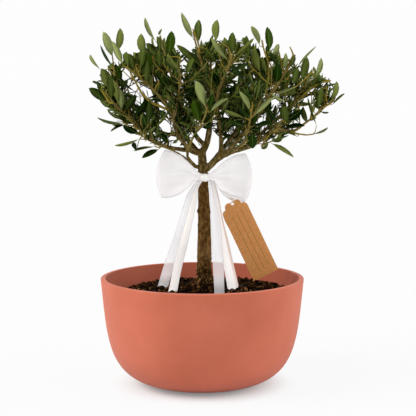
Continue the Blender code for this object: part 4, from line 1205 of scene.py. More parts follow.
shown_spots = []  # points of the standing leaves, which nothing else hides
rng = random.Random(f"{SEED} standing leaves")
for tip_x, tip_y, root_x, root_y, broad, tone in STANDING_LEAVES:
    near = carrier_tree.find_n((root_x, root_y + 1, 0), CARRIERS_TRIED)
    index = min(near, key=lambda found: found[2] + NEARER_FIRST * max(carriers[found[1]][1].y + 0.05, 0))[1]
    limb, carrier, along_carrier = carriers[index]
    root = seen_at(root_x, root_y, carrier.y)
    seen_length = (seen_at(tip_x, tip_y, carrier.y) - root).length
    hidden = math.sqrt(max(LEAF_LENGTH**2 * 1.1 - seen_length**2, 0))
    way = -1 if carrier.y < 0 else 1
    tip = seen_at(tip_x, tip_y, carrier.y + way * min(hidden, seen_length * 0.7) * rng.uniform(0.3, 1))
    ahead = (tip - root).normalized()
    toward = (CAMERA_PLACE - root).normalized()
    side = ahead.cross(toward).normalized()
    level = side.cross(ahead).normalized()
    tilt = math.acos(min(broad / LEAF_SEEN, 1)) * rng.choice((-1, 1))
    face = level * math.cos(tilt) + side * math.sin(tilt)
    name, _, under = tone.partition(" ")
    if under:
        face = -face
    gap = (root - carrier).length
    if gap > TOUCHING:
        bend = carrier + (along_carrier + (root - carrier).normalized()) * gap * 0.3
        settled = root - (ahead + along_carrier).normalized() * gap * 0.3
        controls = [carrier, bend, settled, root]
        link = [bezier(controls, step / (LINK_STEPS - 1)) for step in range(LINK_STEPS)]
        young_wood.add(link, taper(SHOOT_RADIUS * 1.15, SHOOT_RADIUS * 0.75, LINK_STEPS), 5)
        if gap > BEARING:
            bearers.append((limb, link))
    hang_leaf(name, root, ahead, face, (tip - root).length * 1.05, LEAF_WIDTH * 1.14, rng)
    shown_spots += [root.lerp(tip, share) for share in (0.15, 0.4, 0.65, 0.9)]


# Twigs
# The limbs' thin ends, and the twigs that branch from them by a seeded rule, as in the packed
# model but carried one order finer. Old wood is grey-brown and the year's shoots are ochre; the inner
# twigs are near black, a painted shade.

CROWN_AXIS = Vector((0.015, 0.008, 0))
CROWN_RADIUS = 0.158
CROWN_FLOOR = 0.278
CROWN_FLOOR_RISE = 0.044
CROWN_TOP = 0.4555
CROWN_TOP_FALL = 0.030
BOW_SPACE_WIDTH = 0.120
BOW_SPACE_TOP = 0.296
BOW_SPACE_BACK = -0.006
STEM_THINNING = 0.45  # of a limb's thin end. Those that end in a pruned stub thin less, or swell.
PRUNED = {"left": 0.30, "upper_left": 0.20, "right_centre": 0.12, "right_upper": -0.10}
STEM_STEPS = 10
TWIGS_PER_MASS = 11
TWIG_LENGTH = 0.038
TWIG_RADIUS = 0.00068
TWIG_TIP_RADIUS = 0.00040
TWIG_SPREAD_FIRST = 65
TWIG_SPREAD_LAST = 36
TWIG_TURN = 137.5
LOW_TWIGS = 7  # leafy side twigs on each bough's barer part, from this share of its length
LOW_FROM = 0.22
TWIG_SIZES = (1.2, 1.0, 0.8, 0.6, 0.4)  # each is tried until one fits
LOW_SIZES = (0.8, 0.6, 0.45, 0.3)
LOW_SPREAD = (35, 80)
BARE_BELOW = ("left_under", "front_left", "front_right")  # limbs without them
SHOOTS_PER_TWIG = 5
SHOOT_LENGTH = 0.020
SHOOT_SPREAD = (30, 60)
YOUNG_BEYOND = 0.10  # shoots this far from the crown's middle are of the year
TWIG_STEPS = 6
TWIG_WANDER = 0.16
MASS_OVERLAP = -0.003
SPOT_CLEAR = 3.6  # how near anything comes before a standing leaf in the photo, pixels

# Where the crown's body lies in the photo, as the pixels (across, down) of a polygon, and the
# larger gaps that show sky through it, (across, down, radius). Single leaves stand out of it.
CROWN_OUTLINE = (
    (97, 96), (96, 84), (99, 72), (109, 62), (122, 57), (134, 52), (146, 46), (158, 44),
    (172, 44), (184, 52), (198, 44), (212, 38), (228, 38), (242, 38), (256, 42), (270, 46),
    (284, 56), (298, 62), (314, 66), (327, 74), (337, 86), (337, 98), (328, 108), (320, 116),
    (306, 124), (296, 132), (284, 138), (270, 142), (256, 146), (242, 152), (232, 156), (222, 160),
    (205, 150), (190, 158), (176, 154), (162, 149), (148, 144), (134, 136), (120, 124), (108, 113),
    (101, 104),
)
SKY_GAPS = (
    (139, 100, 5), (131, 85, 4), (127, 72, 4), (151, 93, 4), (156, 80, 3.5), (170, 74, 3.5),
    (185, 64, 4), (165, 128, 5.5), (204, 132, 6), (162, 107, 4), (189, 73, 2.5), (234, 79, 3.5),
    (262, 54, 4), (272, 64, 4), (288, 65, 5), (255, 77, 3), (272, 89, 3), (275, 100, 4),
    (309, 99, 5), (261, 120, 4.5), (234, 130, 5), (265, 129, 4), (293, 124, 4), (226, 115, 4),
    (213, 65, 3.5), (172, 139, 4.5), (216, 151, 5), (188, 166, 4), (226, 142, 4), (193, 146, 4),
    (181, 151, 4), (171, 125, 3), (199, 137, 4.5), (205, 128, 4), (233, 148, 3), (239, 134, 3.5),
)


def seen_open(point):
    """True where the photo shows sky at this point: outside the crown's body, or in a gap of it."""
    across, down = pixel_of(point)
    inside = False
    for (x, y), (next_x, next_y) in zip(CROWN_OUTLINE, CROWN_OUTLINE[1:] + CROWN_OUTLINE[:1]):
        if (y > down) != (next_y > down) and across < x + (next_x - x) * (down - y) / (next_y - y):
            inside = not inside
    ragged = 0.85 + 0.5 * noise.noise(Vector((across * 0.35, down * 0.35, 0)))
    return not inside or any(
        math.hypot(across - x, down - y) < radius * ragged for x, y, radius in SKY_GAPS
    )


shown_tree = wrapped(shown_spots)


def hides_leaf(point):
    """True where this point would stand before one of the standing leaves in the photo."""
    near = shown_tree.find_range((*pixel_of(point), 0), SPOT_CLEAR)
    return any(shown_spots[index].y > point.y - 0.004 for _, index, _ in near)


def inside_crown(point):
    """True inside the crown's dome and outside the bow's space."""
    out = Vector((point.x - CROWN_AXIS.x, point.y - CROWN_AXIS.y, 0)).length
    before_bow = point.y < BOW_SPACE_BACK and abs(point.x) < BOW_SPACE_WIDTH / 2
    if before_bow and point.z < BOW_SPACE_TOP:
        return False
    lowest = CROWN_FLOOR + CROWN_FLOOR_RISE * (out / 0.140) ** 4
    highest = CROWN_TOP - CROWN_TOP_FALL * (out / 0.130) ** 3
    return out < CROWN_RADIUS and lowest < point.z < highest


def side_direction(direction, turn):
    """A direction square to this one, turned about it."""
    level = direction.cross(Vector((0, 0, 1)))
    if level.length < 0.1:
        level = Vector((1, 0, 0))
    level.normalize()
    steep = level.cross(direction).normalized()
    return level * math.cos(turn) + steep * math.sin(turn)


def shoot_line(rng, start, away, length, rise):
    """The line of a twig: it sets out this way and turns up towards the light."""
    lift = Vector((0, 0, rise))
    line = [start]
    ahead = away.normalized()
    for step in range(TWIG_STEPS):
        wander = Vector((rng.uniform(-1, 1), rng.uniform(-1, 1), rng.uniform(-1, 1))) * TWIG_WANDER
        ahead = (ahead + lift / TWIG_STEPS + wander / 2).normalized()
        line.append(line[-1] + ahead * length / TWIG_STEPS)
    return line


def fits_crown(limb, line):
    """True where a twig keeps to its mass's space, clear of open sky and of the standing leaves."""
    for point in line[2:]:
        if not inside_crown(point) or hides_leaf(point):
            return False
        if limb and not inside_own_space(limb, point, MASS_OVERLAP):
            return False
    return not seen_open(line[-1]) and not seen_open(line[3])


for limb in LIMBS:
    rng = random.Random(f"{SEED} {limb} low twigs")
    line = limb_lines[limb]
    for number in range(0 if limb in BARE_BELOW else LOW_TWIGS):
        t = LOW_FROM + (bough_ends[limb] - 0.12 - LOW_FROM) * number / LOW_TWIGS
        direction = course(line, t, 0.04, 0.04)
        for size in LOW_SIZES:
            side = side_direction(direction, rng.uniform(0, math.tau))
            away = leaning(direction, side, rng.uniform(*LOW_SPREAD))
            twig = shoot_line(rng, along(line, t), away, TWIG_LENGTH * size, rng.uniform(0.2, 0.8))
            if fits_crown(None, twig):
                inner_wood_in_shade.add(twig, taper(TWIG_RADIUS * 0.8, TWIG_TIP_RADIUS, len(twig)), 5)
                bearers.append((None, twig))
                break

for limb in LIMBS:
    rng = random.Random(f"{SEED} {limb} twigs")
    line = limb_lines[limb]
    begin = bough_ends[limb]
    spots = [begin - 0.01 + (1.01 - begin) * step / STEM_STEPS for step in range(STEM_STEPS + 1)]
    stem = [along(line, t) for t in spots]
    thinning = PRUNED.get(limb, STEM_THINNING)
    radii = [limb_radius(limb, t) * (1 - thinning * n / STEM_STEPS) for n, t in enumerate(spots)]
    old_wood.add(stem, radii, 8)
    if limb in PRUNED:
        tip = stem[-1] + (stem[-1] - stem[-2]).normalized() * 0.0003
        cut_wood.add([stem[-1].lerp(stem[-2], 0.03), tip], [radii[-1] * 1.02, radii[-1] * 0.9], 8)
    bearers.append((limb, stem[2:]))
    turn = rng.uniform(0, math.tau)
    for number in range(TWIGS_PER_MASS):
        share = 0.04 + 0.92 * number / (TWIGS_PER_MASS - 1)
        t = begin - 0.12 + (1.10 - begin) * share
        root = along(line, t)
        direction = course(line, t, 0.04, 0.04)
        turn += math.radians(TWIG_TURN)
        spread = TWIG_SPREAD_FIRST + (TWIG_SPREAD_LAST - TWIG_SPREAD_FIRST) * share
        for size in TWIG_SIZES:
            side = side_direction(direction, turn + rng.uniform(-0.5, 0.5))
            away = leaning(direction, side, spread + rng.uniform(-10, 10))
            length = TWIG_LENGTH * size * (1.15 - 0.4 * share)
            twig = shoot_line(rng, root, away, length, rng.uniform(0.3, 0.9))
            if fits_crown(limb, twig):
                break
        else:
            continue
        # Twigs at the back are mostly painted near black, a painted shade.
        wood = old_wood if twig[-1].y < 0.02 or rng.random() < 0.3 else inner_wood_in_shade
        wood.add(twig, taper(TWIG_RADIUS * (0.8 + 0.4 * size), TWIG_TIP_RADIUS, len(twig)), 6)
        bearers.append((limb, twig))
        for count in range(SHOOTS_PER_TWIG):
            place = 0.30 + 0.55 * count / max(SHOOTS_PER_TWIG - 1, 1)
            start = along(twig, place)
            ahead = course(twig, place, 0.1, 0.1)
            side = side_direction(ahead, rng.uniform(0, math.tau))
            length = SHOOT_LENGTH * rng.uniform(0.6, 1.2)
            away = leaning(ahead, side, rng.uniform(*SHOOT_SPREAD))
            shoot = shoot_line(rng, start, away, length, rng.uniform(0.2, 0.8))
            if not fits_crown(limb, shoot):
                continue
            # Shoots near the crown's middle are mostly painted near black, a painted shade.
            outer = (shoot[-1] - CROWN_MIDDLE).length > YOUNG_BEYOND
            wood = young_wood if outer or rng.random() < 0.3 else inner_wood_in_shade
            wood.add(shoot, taper(SHOOT_RADIUS, SHOOT_RADIUS * 0.6, len(shoot)), 5)
            bearers.append((limb, shoot))


# Leaves of the crown
# The many smaller leaves that fill the crown, in opposite pairs along stems, twigs and shoots.
# Each spray has its own tone, and the inner ones are painted the darkest tones, as painted shade of the
# crown.

LEAF_SPACING = 0.0052
CROWN_REACH = Vector((0.155, 0.155, 0.105))
STEM_CLEAR = 3.0  # how near a leaf comes to a front limb in the photo, pixels
SPRAY_SHARES = (4, 32, 16, 28, 12, 12)  # how often a spray has each of the tones
# Darker tones for the inner leaves: painted shade.
SHADE_TONES = ("deep", "dark", "dark", "blue", "olive")
MISSING_LAST = 0.05  # the chance that a leaf is missing at a twig's tip, and elsewhere along it
MISSING = 0.28
SPREAD_LAST = (12, 28)
SPREAD = (28, 55)
LEAF_TRIES = (1.0, 0.8, 0.6)
MASS_LEAF_OVERLAP = -0.004
BEFORE_STEM = 0.08  # the chance that a leaf may hide a front limb, keep its spray's tone, or face us
OWN_TONE = 0.72
FACING = 0.65
FRONT_LIMBS = (
    "left", "left_low", "left_far", "left_up", "front_left", "right", "right_centre",
    "right_upper", "front_right", "right_mid", "right_low",
)

stem_places = []
for limb in FRONT_LIMBS:
    stem_places += [along(limb_lines[limb], step / CARRIER_STEPS) for step in range(6, CARRIER_STEPS + 1)]
for line in shown_twigs:
    stem_places += line
stem_tree = wrapped(stem_places)


def hides_stem(point):
    """True where this point would stand before a front limb or one of the twigs that stand out."""
    near = stem_tree.find_range((*pixel_of(point), 0), STEM_CLEAR)
    return any(stem_places[index].y > point.y for _, index, _ in near)


tones = list(TONES)
for number, (limb, line) in enumerate(bearers):
    rng = random.Random(f"{SEED} {limb} {number} leaves")
    length = sum((b - a).length for a, b in zip(line, line[1:]))
    pairs = max(2, round(length / LEAF_SPACING))
    turn = rng.uniform(0, math.pi)
    spray = rng.choices(tones, SPRAY_SHARES)[0]
    for pair in range(pairs):
        share = (pair + 1) / pairs
        turn += math.pi / 2
        last = pair == pairs - 1
        for way in (0, 1):
            if rng.random() < (MISSING_LAST if last else MISSING):
                continue
            root = along(line, min(share, 0.985) - way * 0.0008 / length)
            ahead = course(line, share, 0.15, 0.02)
            out = root - CROWN_MIDDLE
            depth = Vector((out[axis] / CROWN_REACH[axis] for axis in range(3))).length
            outer = smoothly(0.62, 0.95, depth)
            behind = smoothly(0.03, 0.07, root.y)
            grown = 0.66 + (0.16 + 0.28 * behind) * outer + rng.uniform(-0.16, 0.16)
            for size in LEAF_TRIES:
                side = side_direction(ahead, turn + way * math.pi + rng.uniform(-0.4, 0.4))
                away = leaning(ahead, side, rng.uniform(*(SPREAD_LAST if last else SPREAD)))
                tip = root + away * LEAF_LENGTH * size * grown
                parts = [root.lerp(tip, part) for part in (0.3, 0.6, 1.0)]
                if not inside_crown(tip):
                    continue
                if limb and not inside_own_space(limb, tip, MASS_LEAF_OVERLAP):
                    continue
                if any(seen_open(part) or hides_leaf(part) for part in parts):
                    continue
                if rng.random() < BEFORE_STEM or not any(hides_stem(part) for part in parts):
                    break
            else:
                continue
            face = side_direction(away, rng.uniform(0, math.tau)) * 0.6
            if behind < 0.5 and rng.random() < FACING:
                face += away.cross(CAMERA_PLACE - root).normalized()
            else:
                face += Vector((0, 0, 0.5)) + out.normalized() * rng.uniform(-0.2, 0.8)
            tone = spray if rng.random() < OWN_TONE else rng.choice(tones)
            # Inner leaves mostly take a darker tone: painted shade.
            if rng.random() > 0.1 + 0.9 * outer:
                tone = rng.choice(SHADE_TONES)
            wide = LEAF_WIDTH * size * grown * rng.uniform(0.62, 0.92 + 0.18 * behind) * (0.8 + 0.2 * outer)
            hang_leaf(tone, root, away, face, LEAF_LENGTH * size * grown, wide, rng)

for tone, (upper, lower, roughness) in TONES.items():
    leaves = foliage[tone]
    rib = tuple(a * 0.5 + b * 0.5 for a, b in zip(upper, RIB_COLOUR))
    rib_below = tuple(b * 1.15 for b in lower)
    piece = gathered(
        "leaves_" + tone, leaves.points, leaves.faces,
        finish_of(f"olive leaf {tone}", upper, roughness, 0.02 if tone == "deep" else 0.05),
        finish_of(f"olive leaf {tone} underside", lower, 0.7, 0.02),
        finish_of(f"olive leaf {tone} rib", rib, 0.5, 0.08),
        finish_of(f"olive leaf {tone} rib below", rib_below, 0.6, 0.05),
    )
    piece.data.polygons.foreach_set("material_index", leaves.kinds)
    piece.data.shade_smooth()
    settle(piece, "leaves_" + tone, "foliage")

masses = ["foliage_" + limb for limb in LIMBS]
# The inner twigs' near black colour is painted shade.
for strands, name, slot, finish, nodes in (
    (old_wood, "twigs_old", "bark", finish_of("old twig", (0.220, 0.165, 0.044), 0.75, 0.06), masses),
    (inner_wood_in_shade, "twigs_inner", "bark", finish_of("inner twig", (0.034, 0.026, 0.005), 0.80, 0.03), ()),
    (young_wood, "twigs_young", "bark", finish_of("young shoot", (0.310, 0.230, 0.034), 0.65, 0.06), ()),
    (petioles, "leaf_stalks", "foliage", finish_of("leaf stalk", (0.300, 0.228, 0.036), 0.65, 0.06), ()),
    (cut_wood, "pruned_ends", "bark", finish_of("cut wood", (0.560, 0.370, 0.210), 0.7, 0.05), ()),
):
    settle(strands.piece(name, finish), name, slot, *nodes)


# Bow
# A wide loop of white organza on each side, gathered in pleats into a satin knot in front of the
# trunk, two sheer tails and two satin ones with notched ends, and the ribbon's turn behind.

KNOT = Vector((0.0036, -0.0114, 0.2560))
KNOT_SIZE = Vector((0.0122, 0.0080, 0.0092))
KNOT_PLEATS = 5
KNOT_PLEAT_RISE = 0.00030
KNOT_WAIST = 0.10
KNOT_EASED = 0.0019
# Each loop's upper and lower edge in the photo, in equal steps from the knot out, in pixels, and
# how far its fold bulges beyond their ends
LOOPS = {
    "left": (
        (
            (201.4, 174.2), (194.9, 169.6), (190.3, 164.6), (184.7, 159.4), (177.6, 154.8), (171.9, 151.6),
            (164.6, 149.8),
        ),
        (
            (201.4, 180.0), (195.5, 181.0), (190.8, 184.6), (186.6, 188.6), (180.0, 193.6), (171.4, 197.0),
            (162.0, 197.8),
        ),
        -6.4,
    ),
    "right": (
        (
            (209.0, 174.2), (215.3, 169.6), (220.4, 164.8), (226.5, 160.0), (232.7, 156.5), (238.8, 154.4),
            (245.4, 153.6),
        ),
        (
            (209.0, 180.0), (214.0, 181.6), (217.2, 186.2), (220.8, 191.2), (225.2, 196.2), (233.0, 200.6),
            (245.2, 201.4),
        ),
        6.6,
    ),
}
LOOP_ENDS_APART = 0.035
LOOP_FRONT = 0.0150
LOOP_BACK = 0.0030
LOOP_SET_FORWARD = 0.0012
# The right loop's front ends above the tag's head, and its back goes this far behind the head
FRONT_RAISED = 0.09
BEHIND_TAG = 0.0072
LOOP_STEPS = (72, 44)
PLEAT_DEPTH = 0.0024
SOFT_WAVE = 0.0014
RIBBON_THICKNESS = 0.00025
SELVEDGE_RADIUS = 0.00026
SELVEDGE_SIDES = 5
BAND_HEIGHT = 0.0084
BAND_STEPS = (72, 24)
BAND_THICKNESS = 0.0005
# Each tail's edges as the photo shows them: rows of down, left and right in pixels, and the
# depth of its left and right edge
TAILS = {
    "outer_left": (
        (179.5, 199.0, 202.0, -0.0150, -0.0150), (185, 193.4, 197.6, -0.0158, -0.0158),
        (191, 189.3, 194.9, -0.0165, -0.0165), (197, 186.5, 192.9, -0.0168, -0.0168),
        (211.5, 181.8, 189.8, -0.0165, -0.0170), (232, 175.5, 184.4, -0.0150, -0.0160),
        (262.4, 165.0, 175.0, -0.0100, -0.0130), (275, 161.0, 171.2, -0.0075, -0.0120),
        (289.6, 157.0, 167.0, -0.0048, -0.0115),
    ),
    "inner_left": (
        (180, 199.6, 203.0, -0.0165, -0.0165), (188, 194.9, 198.3, -0.0190, -0.0190),
        (195, 193.0, 197.9, -0.0210, -0.0210), (206, 190.4, 195.6, -0.0230, -0.0230),
        (221.6, 185.8, 192.4, -0.0255, -0.0255), (242, 180.2, 188.0, -0.0290, -0.0290),
        (262.4, 174.4, 183.0, -0.0320, -0.0320), (278, 171.2, 179.6, -0.0345, -0.0345),
        (293, 168.2, 176.9, -0.0368, -0.0368),
    ),
    "inner_right": (
        (180, 209.0, 211.4, -0.0165, -0.0165), (188, 209.7, 212.4, -0.0200, -0.0200),
        (199, 210.2, 214.6, -0.0270, -0.0270), (221.6, 211.2, 220.0, -0.0380, -0.0380),
        (242, 212.0, 221.8, -0.0470, -0.0470), (262.4, 212.8, 223.6, -0.0550, -0.0550),
        (280, 213.8, 224.0, -0.0595, -0.0595), (297.5, 214.9, 224.3, -0.0622, -0.0622),
    ),
    "outer_right": (
        (180.5, 209.8, 213.6, -0.0150, -0.0150), (187, 211.7, 216.1, -0.0155, -0.0155),
        (191, 212.4, 217.2, -0.0165, -0.0160), (201, 213.5, 219.6, -0.0185, -0.0168),
        (217.6, 215.5, 222.5, -0.0215, -0.0180), (242, 218.8, 228.6, -0.0260, -0.0205),
        (262.4, 222.7, 233.1, -0.0300, -0.0225), (276, 225.4, 236.2, -0.0325, -0.0235),
        (292.4, 228.2, 239.8, -0.0350, -0.0242),
    ),
}
TAIL_STEPS = (60, 20)
TAIL_CURL = 0.0007
TAIL_WAVE = 0.0010
TAIL_GATHER = 0.0012  # of the left ones, up to this share of their length
TAIL_GATHER_TO = 0.25
# How far the cut ends are drawn up, in millimetres, at places from the left edge to the right
TAIL_ENDS = {
    "outer_left": ((-1, 3.0), (-0.1, 8.4), (1, -0.6)),
    "inner_left": ((-1, 0.6), (-0.1, 4.2), (1, 0.0)),
    "inner_right": ((-1, 0.0), (0.0, 3.0), (1, 0.0)),
    "outer_right": ((-1, 0.0), (-0.35, 6.0), (0.20, 3.0), (0.34, 5.2), (1, 3.8)),
}
FOLD_FROM = 0.48  # the right-hand satin tail is creased here, and its edge turns back
FOLD_BACK = 0.0050
OFF_SOIL = (0.66, 0.88)  # a tail's painted glow, for the light through it, grows from here on, and falls again before soil
OVER_SOIL = (0.86, 0.93)
LOOP_FOLD = ((0.30, 0.46), (0.54, 0.70))


def thicken(piece, thickness):
    """Gives a thin sheet its thickness, with its faces turned outward."""
    choose(piece)
    body = piece.modifiers.new("thickness", "SOLIDIFY")
    body.thickness = thickness
    body.offset = 0
    bpy.ops.object.modifier_apply(modifier=body.name)
    face_outward(piece)


def ribbon(name, steps, place, thickness=RIBBON_THICKNESS):
    """A ribbon whose points are placed by a rule of (along, across), both 0 to 1, made solid."""
    bpy.ops.mesh.primitive_grid_add(x_subdivisions=steps[0], y_subdivisions=steps[1], size=1)
    made = bpy.context.object
    made.name = name
    for vert in made.data.vertices:
        vert.co = place(vert.co.x + 0.5, vert.co.y + 0.5)
    thicken(made, thickness)
    made.data.shade_smooth()
    return made


def combined(tree, operation, first, second):
    """Two outputs added or multiplied."""
    reckoned = tree.nodes.new("ShaderNodeMath")
    reckoned.operation = operation
    feed(tree, reckoned.inputs[0], first)
    feed(tree, reckoned.inputs[1], second)
    return reckoned.outputs["Value"]


def woven(material, across_scale, along_scale, strength):
    """Fine threads on the ribbon's own map, as bump."""
    tree = material.node_tree
    cloth_map = tree.nodes.new("ShaderNodeTexCoord")
    heights = []
    for direction, scale in (("X", along_scale), ("Y", across_scale)):
        threads = tree.nodes.new("ShaderNodeTexWave")
        threads.bands_direction = direction
        feed(tree, threads.inputs["Scale"], scale)
        feed(tree, threads.inputs["Distortion"], 0.4)
        feed(tree, threads.inputs["Vector"], cloth_map.outputs["UV"])
        heights.append(threads.outputs["Fac"])
    bumped(material, combined(tree, "ADD", *heights), strength, 0.0001)


def let_through(material, high, low, over_soil):
    """A painted glow for the little light that comes through thin white cloth: by the knot, lower down, and
    over soil.
    """
    tree = material.node_tree
    glow = high
    if low != high:
        by_height = ranged(tree, coordinate(tree, "UV", "X"), *OFF_SOIL, high, low)
        by_soil = ranged(tree, coordinate(tree, "UV", "X"), *OVER_SOIL, 1, over_soil / low)
        glow = combined(tree, "MULTIPLY", by_height, by_soil)
    dress(material, Emission_Color=(1, 0.985, 0.98, 1), Emission_Strength=glow)


def cloth(name, roughness, shine, weave, through, light, shade):
    """Ribbon with a fine weave, a painted glow, and soft streaks of painted light and shade along it."""
    made = finish_of(name, light, roughness, shine)
    let_through(made, *through)
    woven(made, *weave)
    streaks = mottled(made.node_tree, 1.0, (1.6, 7, 1), 4.0, "UV")
    dress(made, Base_Color=blended(made.node_tree, streaks, [(0.35, shade), (0.65, light)]))
    return made


def organza(name, opacity, through, light, shade):
    """Crisp sheer ribbon: each of its two faces hides this share of what is behind."""
    made = cloth(name, 0.6, 0.15, (60, 260, 0.12), through, light, shade)
    dress(made, Alpha=opacity)
    return made


def satin(name, through, light, shade):
    """Dense smooth ribbon, a little shiny."""
    return cloth(name, 0.40, 0.4, (90, 320, 0.06), through, light, shade)


def shaded_fold(material, tone):
    """Greys a loop's cloth at its outer fold, half way along it."""
    tree = material.node_tree
    before, after = LOOP_FOLD
    near = ranged(tree, coordinate(tree, "UV", "X"), *before, 0, 1)
    far = ranged(tree, coordinate(tree, "UV", "X"), *after, 1, 0)
    plain = tree.nodes["Principled BSDF"].inputs["Base Color"].links[0].from_socket
    dress(material, Base_Color=mixed(tree, combined(tree, "MULTIPLY", near, far), plain, (*tone, 1)))


loop_organza = organza(
    "loop organza", 0.56, (0.165, 0.165, 0.165), (0.94, 0.925, 0.935), (0.85, 0.830, 0.845)
)
shaded_fold(loop_organza, (0.76, 0.745, 0.755))
# Each tail has its own copy of the cloth, lighter or darker and glowing more or less: painted light to suit
# the light it hangs in.
tail_cloths = {
    "outer_left": organza(
        "shaded organza", 0.42, (0.15, 0.47, 0.20), (0.78, 0.77, 0.79), (0.72, 0.71, 0.73)
    ),
    "inner_left": satin("left satin", (0.13, 0.37, 0.37), (0.84, 0.815, 0.79), (0.72, 0.68, 0.645)),
    "inner_right": organza("lit organza", 0.42, (0.20, 0.48, 0.18), (0.66, 0.65, 0.67), (0.60, 0.59, 0.61)),
    "outer_right": satin("right satin", (0.14, 0.22, 0.22), (0.86, 0.835, 0.815), (0.78, 0.745, 0.72)),
}
white_satin = satin("white satin", (0.13, 0.13, 0.13), (0.96, 0.945, 0.93), (0.92, 0.885, 0.865))
# The turned-back strip of the right-hand satin tail is pinkish grey: painted shade, with the bowl's colour
# painted in as reflection.
satin_shade_and_reflection = satin("satin turned back in painted shade", (0.03, 0.24, 0.24), (0.70, 0.59, 0.53), (0.64, 0.52, 0.46))
selvedge_silk = satin("selvedge", (0.04, 0.04, 0.04), (0.58, 0.53, 0.54), (0.52, 0.47, 0.48))


def curve_between(before, start, end, after, t):
    """A point a share of the way from start to end, on a smooth curve through four points."""
    bend = (before * 2 - start * 5 + end * 4 - after) * t**2
    turn = (start * 3 - before - end * 3 + after) * t**3
    return (start * 2 + (end - before) * t + bend + turn) / 2


def on_curve(points, share):
    """A point a share of the way along a smooth curve through these points."""
    points = [Vector(point) for point in points]
    place = share * (len(points) - 1)
    first = min(int(place), len(points) - 2)
    near = [points[min(max(first + offset, 0), len(points) - 1)] for offset in (-1, 0, 1, 2)]
    return curve_between(*near, place - first)


def loop_point(side, u, v):
    """A loop's surface: u runs out over the front, round the fold and back behind; v is across."""
    upper, lower, bulge = LOOPS[side]
    first_turn = math.tau * LOOP_ENDS_APART
    turn = first_turn + (math.tau - 2 * first_turn) * u
    out = (math.cos(first_turn) - math.cos(turn)) / (math.cos(first_turn) + 1)
    front = math.sin(turn) > 0
    across = 2 * v - 1
    before_fold = smoothly(0.35, 0.70, out) * (1 - smoothly(0.88, 1.0, out))
    raised = FRONT_RAISED * before_fold if front and side == "right" else 0
    spot = on_curve(lower, out).lerp(on_curve(upper, out), v + raised * (1 - v))
    spot.x += bulge * out**3 * (1 - abs(across) ** 2.2)
    depth = LOOP_FRONT if front else LOOP_BACK
    ahead = depth * math.sin(turn) * math.sin(turn / 2) * (1 - 0.35 * across**2)
    ahead += LOOP_SET_FORWARD * math.cos(turn / 2)
    gather = (1 - out) * smoothly(0, 0.12, out)
    pleats = math.cos(across * 7.2 + bulge) + 0.6 * math.cos(across * 12.7 + 2 * bulge)
    soft = SOFT_WAVE * math.sin(across * 5.3 + out * 3.2 + bulge) * out * (1 - out) * 4
    ahead += (PLEAT_DEPTH * pleats * gather + soft) * (1 if front else -0.3)
    if side == "right" and not front:
        ahead += (-BEHIND_TAG - ahead) * smoothly(0.2, 0.9, -across) * before_fold
    return seen_at(spot.x, spot.y, KNOT.y - ahead)


def hem(point_at, steps, share=1.0):
    """A fine thread along a ribbon's edge, or a painted shade line along a crease, drawn by a rule of a
    share from 0 to 1.
    """
    line = [point_at(step / (steps - 1)) for step in range(steps)]
    hems_and_crease_shade.add(line, [SELVEDGE_RADIUS * share] * steps, SELVEDGE_SIDES)


hems_and_crease_shade = Strands()
for side in LOOPS:
    loop = ribbon("bow_loop_" + side, LOOP_STEPS, lambda u, v: loop_point(side, u, v))
    loop.data.materials.append(loop_organza)
    settle(loop, "organza_loop_" + side, "sheer", "bow_loop_" + side)
    for edge in (0, 1):
        hem(lambda u: loop_point(side, u, edge), 72)
    # A darker thread across the loop's outer fold: painted shade in the crease.
    hem(lambda v: loop_point(side, 0.5, v), 41, 0.7)


def tail_point(name, u, v):
    """A tail's surface: u runs from the knot to its cut end, v from one edge to the other."""
    down, left, right, left_depth, right_depth = on_curve(TAILS[name], u)
    across = 2 * v - 1
    ahead = TAIL_CURL * (1 - across**2) * smoothly(0, 0.2, u)
    ahead += TAIL_WAVE * math.sin(2.6 * math.pi * u + len(name)) * across
    if name == "outer_right" and across > FOLD_FROM:
        ahead -= FOLD_BACK * (across - FOLD_FROM) / (1 - FOLD_FROM) * smoothly(0, 0.3, u)
    if name.endswith("left") and u < TAIL_GATHER_TO:
        ahead += TAIL_GATHER * math.sin(across * 5) * (1 - u / TAIL_GATHER_TO)
    drawn_up = 0
    for start, end in zip(TAIL_ENDS[name], TAIL_ENDS[name][1:]):
        if start[0] <= across <= end[0] + 0.001:
            drawn_up = start[1] + (end[1] - start[1]) * (across - start[0]) / (end[0] - start[0])
    spot = seen_at(left + (right - left) * v, down, left_depth + (right_depth - left_depth) * v - ahead)
    return spot + Vector((0, 0, 0.001 * drawn_up * smoothly(0.955, 1.0, u)))


for name in TAILS:
    tail = ribbon("bow_tail_" + name, TAIL_STEPS, lambda u, v: tail_point(name, u, v))
    slot = "sheer" if name in ("outer_left", "inner_right") else "satin"
    tail.data.materials.append(tail_cloths[name])
    if name == "outer_right":
        # Its turned-back strip takes the painted shade and reflection.
        tail.data.materials.append(satin_shade_and_reflection)
        cloth_map = tail.data.uv_layers[0].data
        for face in tail.data.polygons:
            middle = sum(cloth_map[corner].uv.y for corner in face.loop_indices) / face.loop_total
            if middle * 2 - 1 > FOLD_FROM:
                face.material_index = 1
    settle(tail, "ribbon_tail_" + name, slot, "bow_tail_" + name)
    for edge in (0, 1):
        hem(lambda u: tail_point(name, u, edge), 60, 0.8)
settle(hems_and_crease_shade.piece("hems_and_crease_shade", selvedge_silk), "hems_and_crease_shade", "satin")

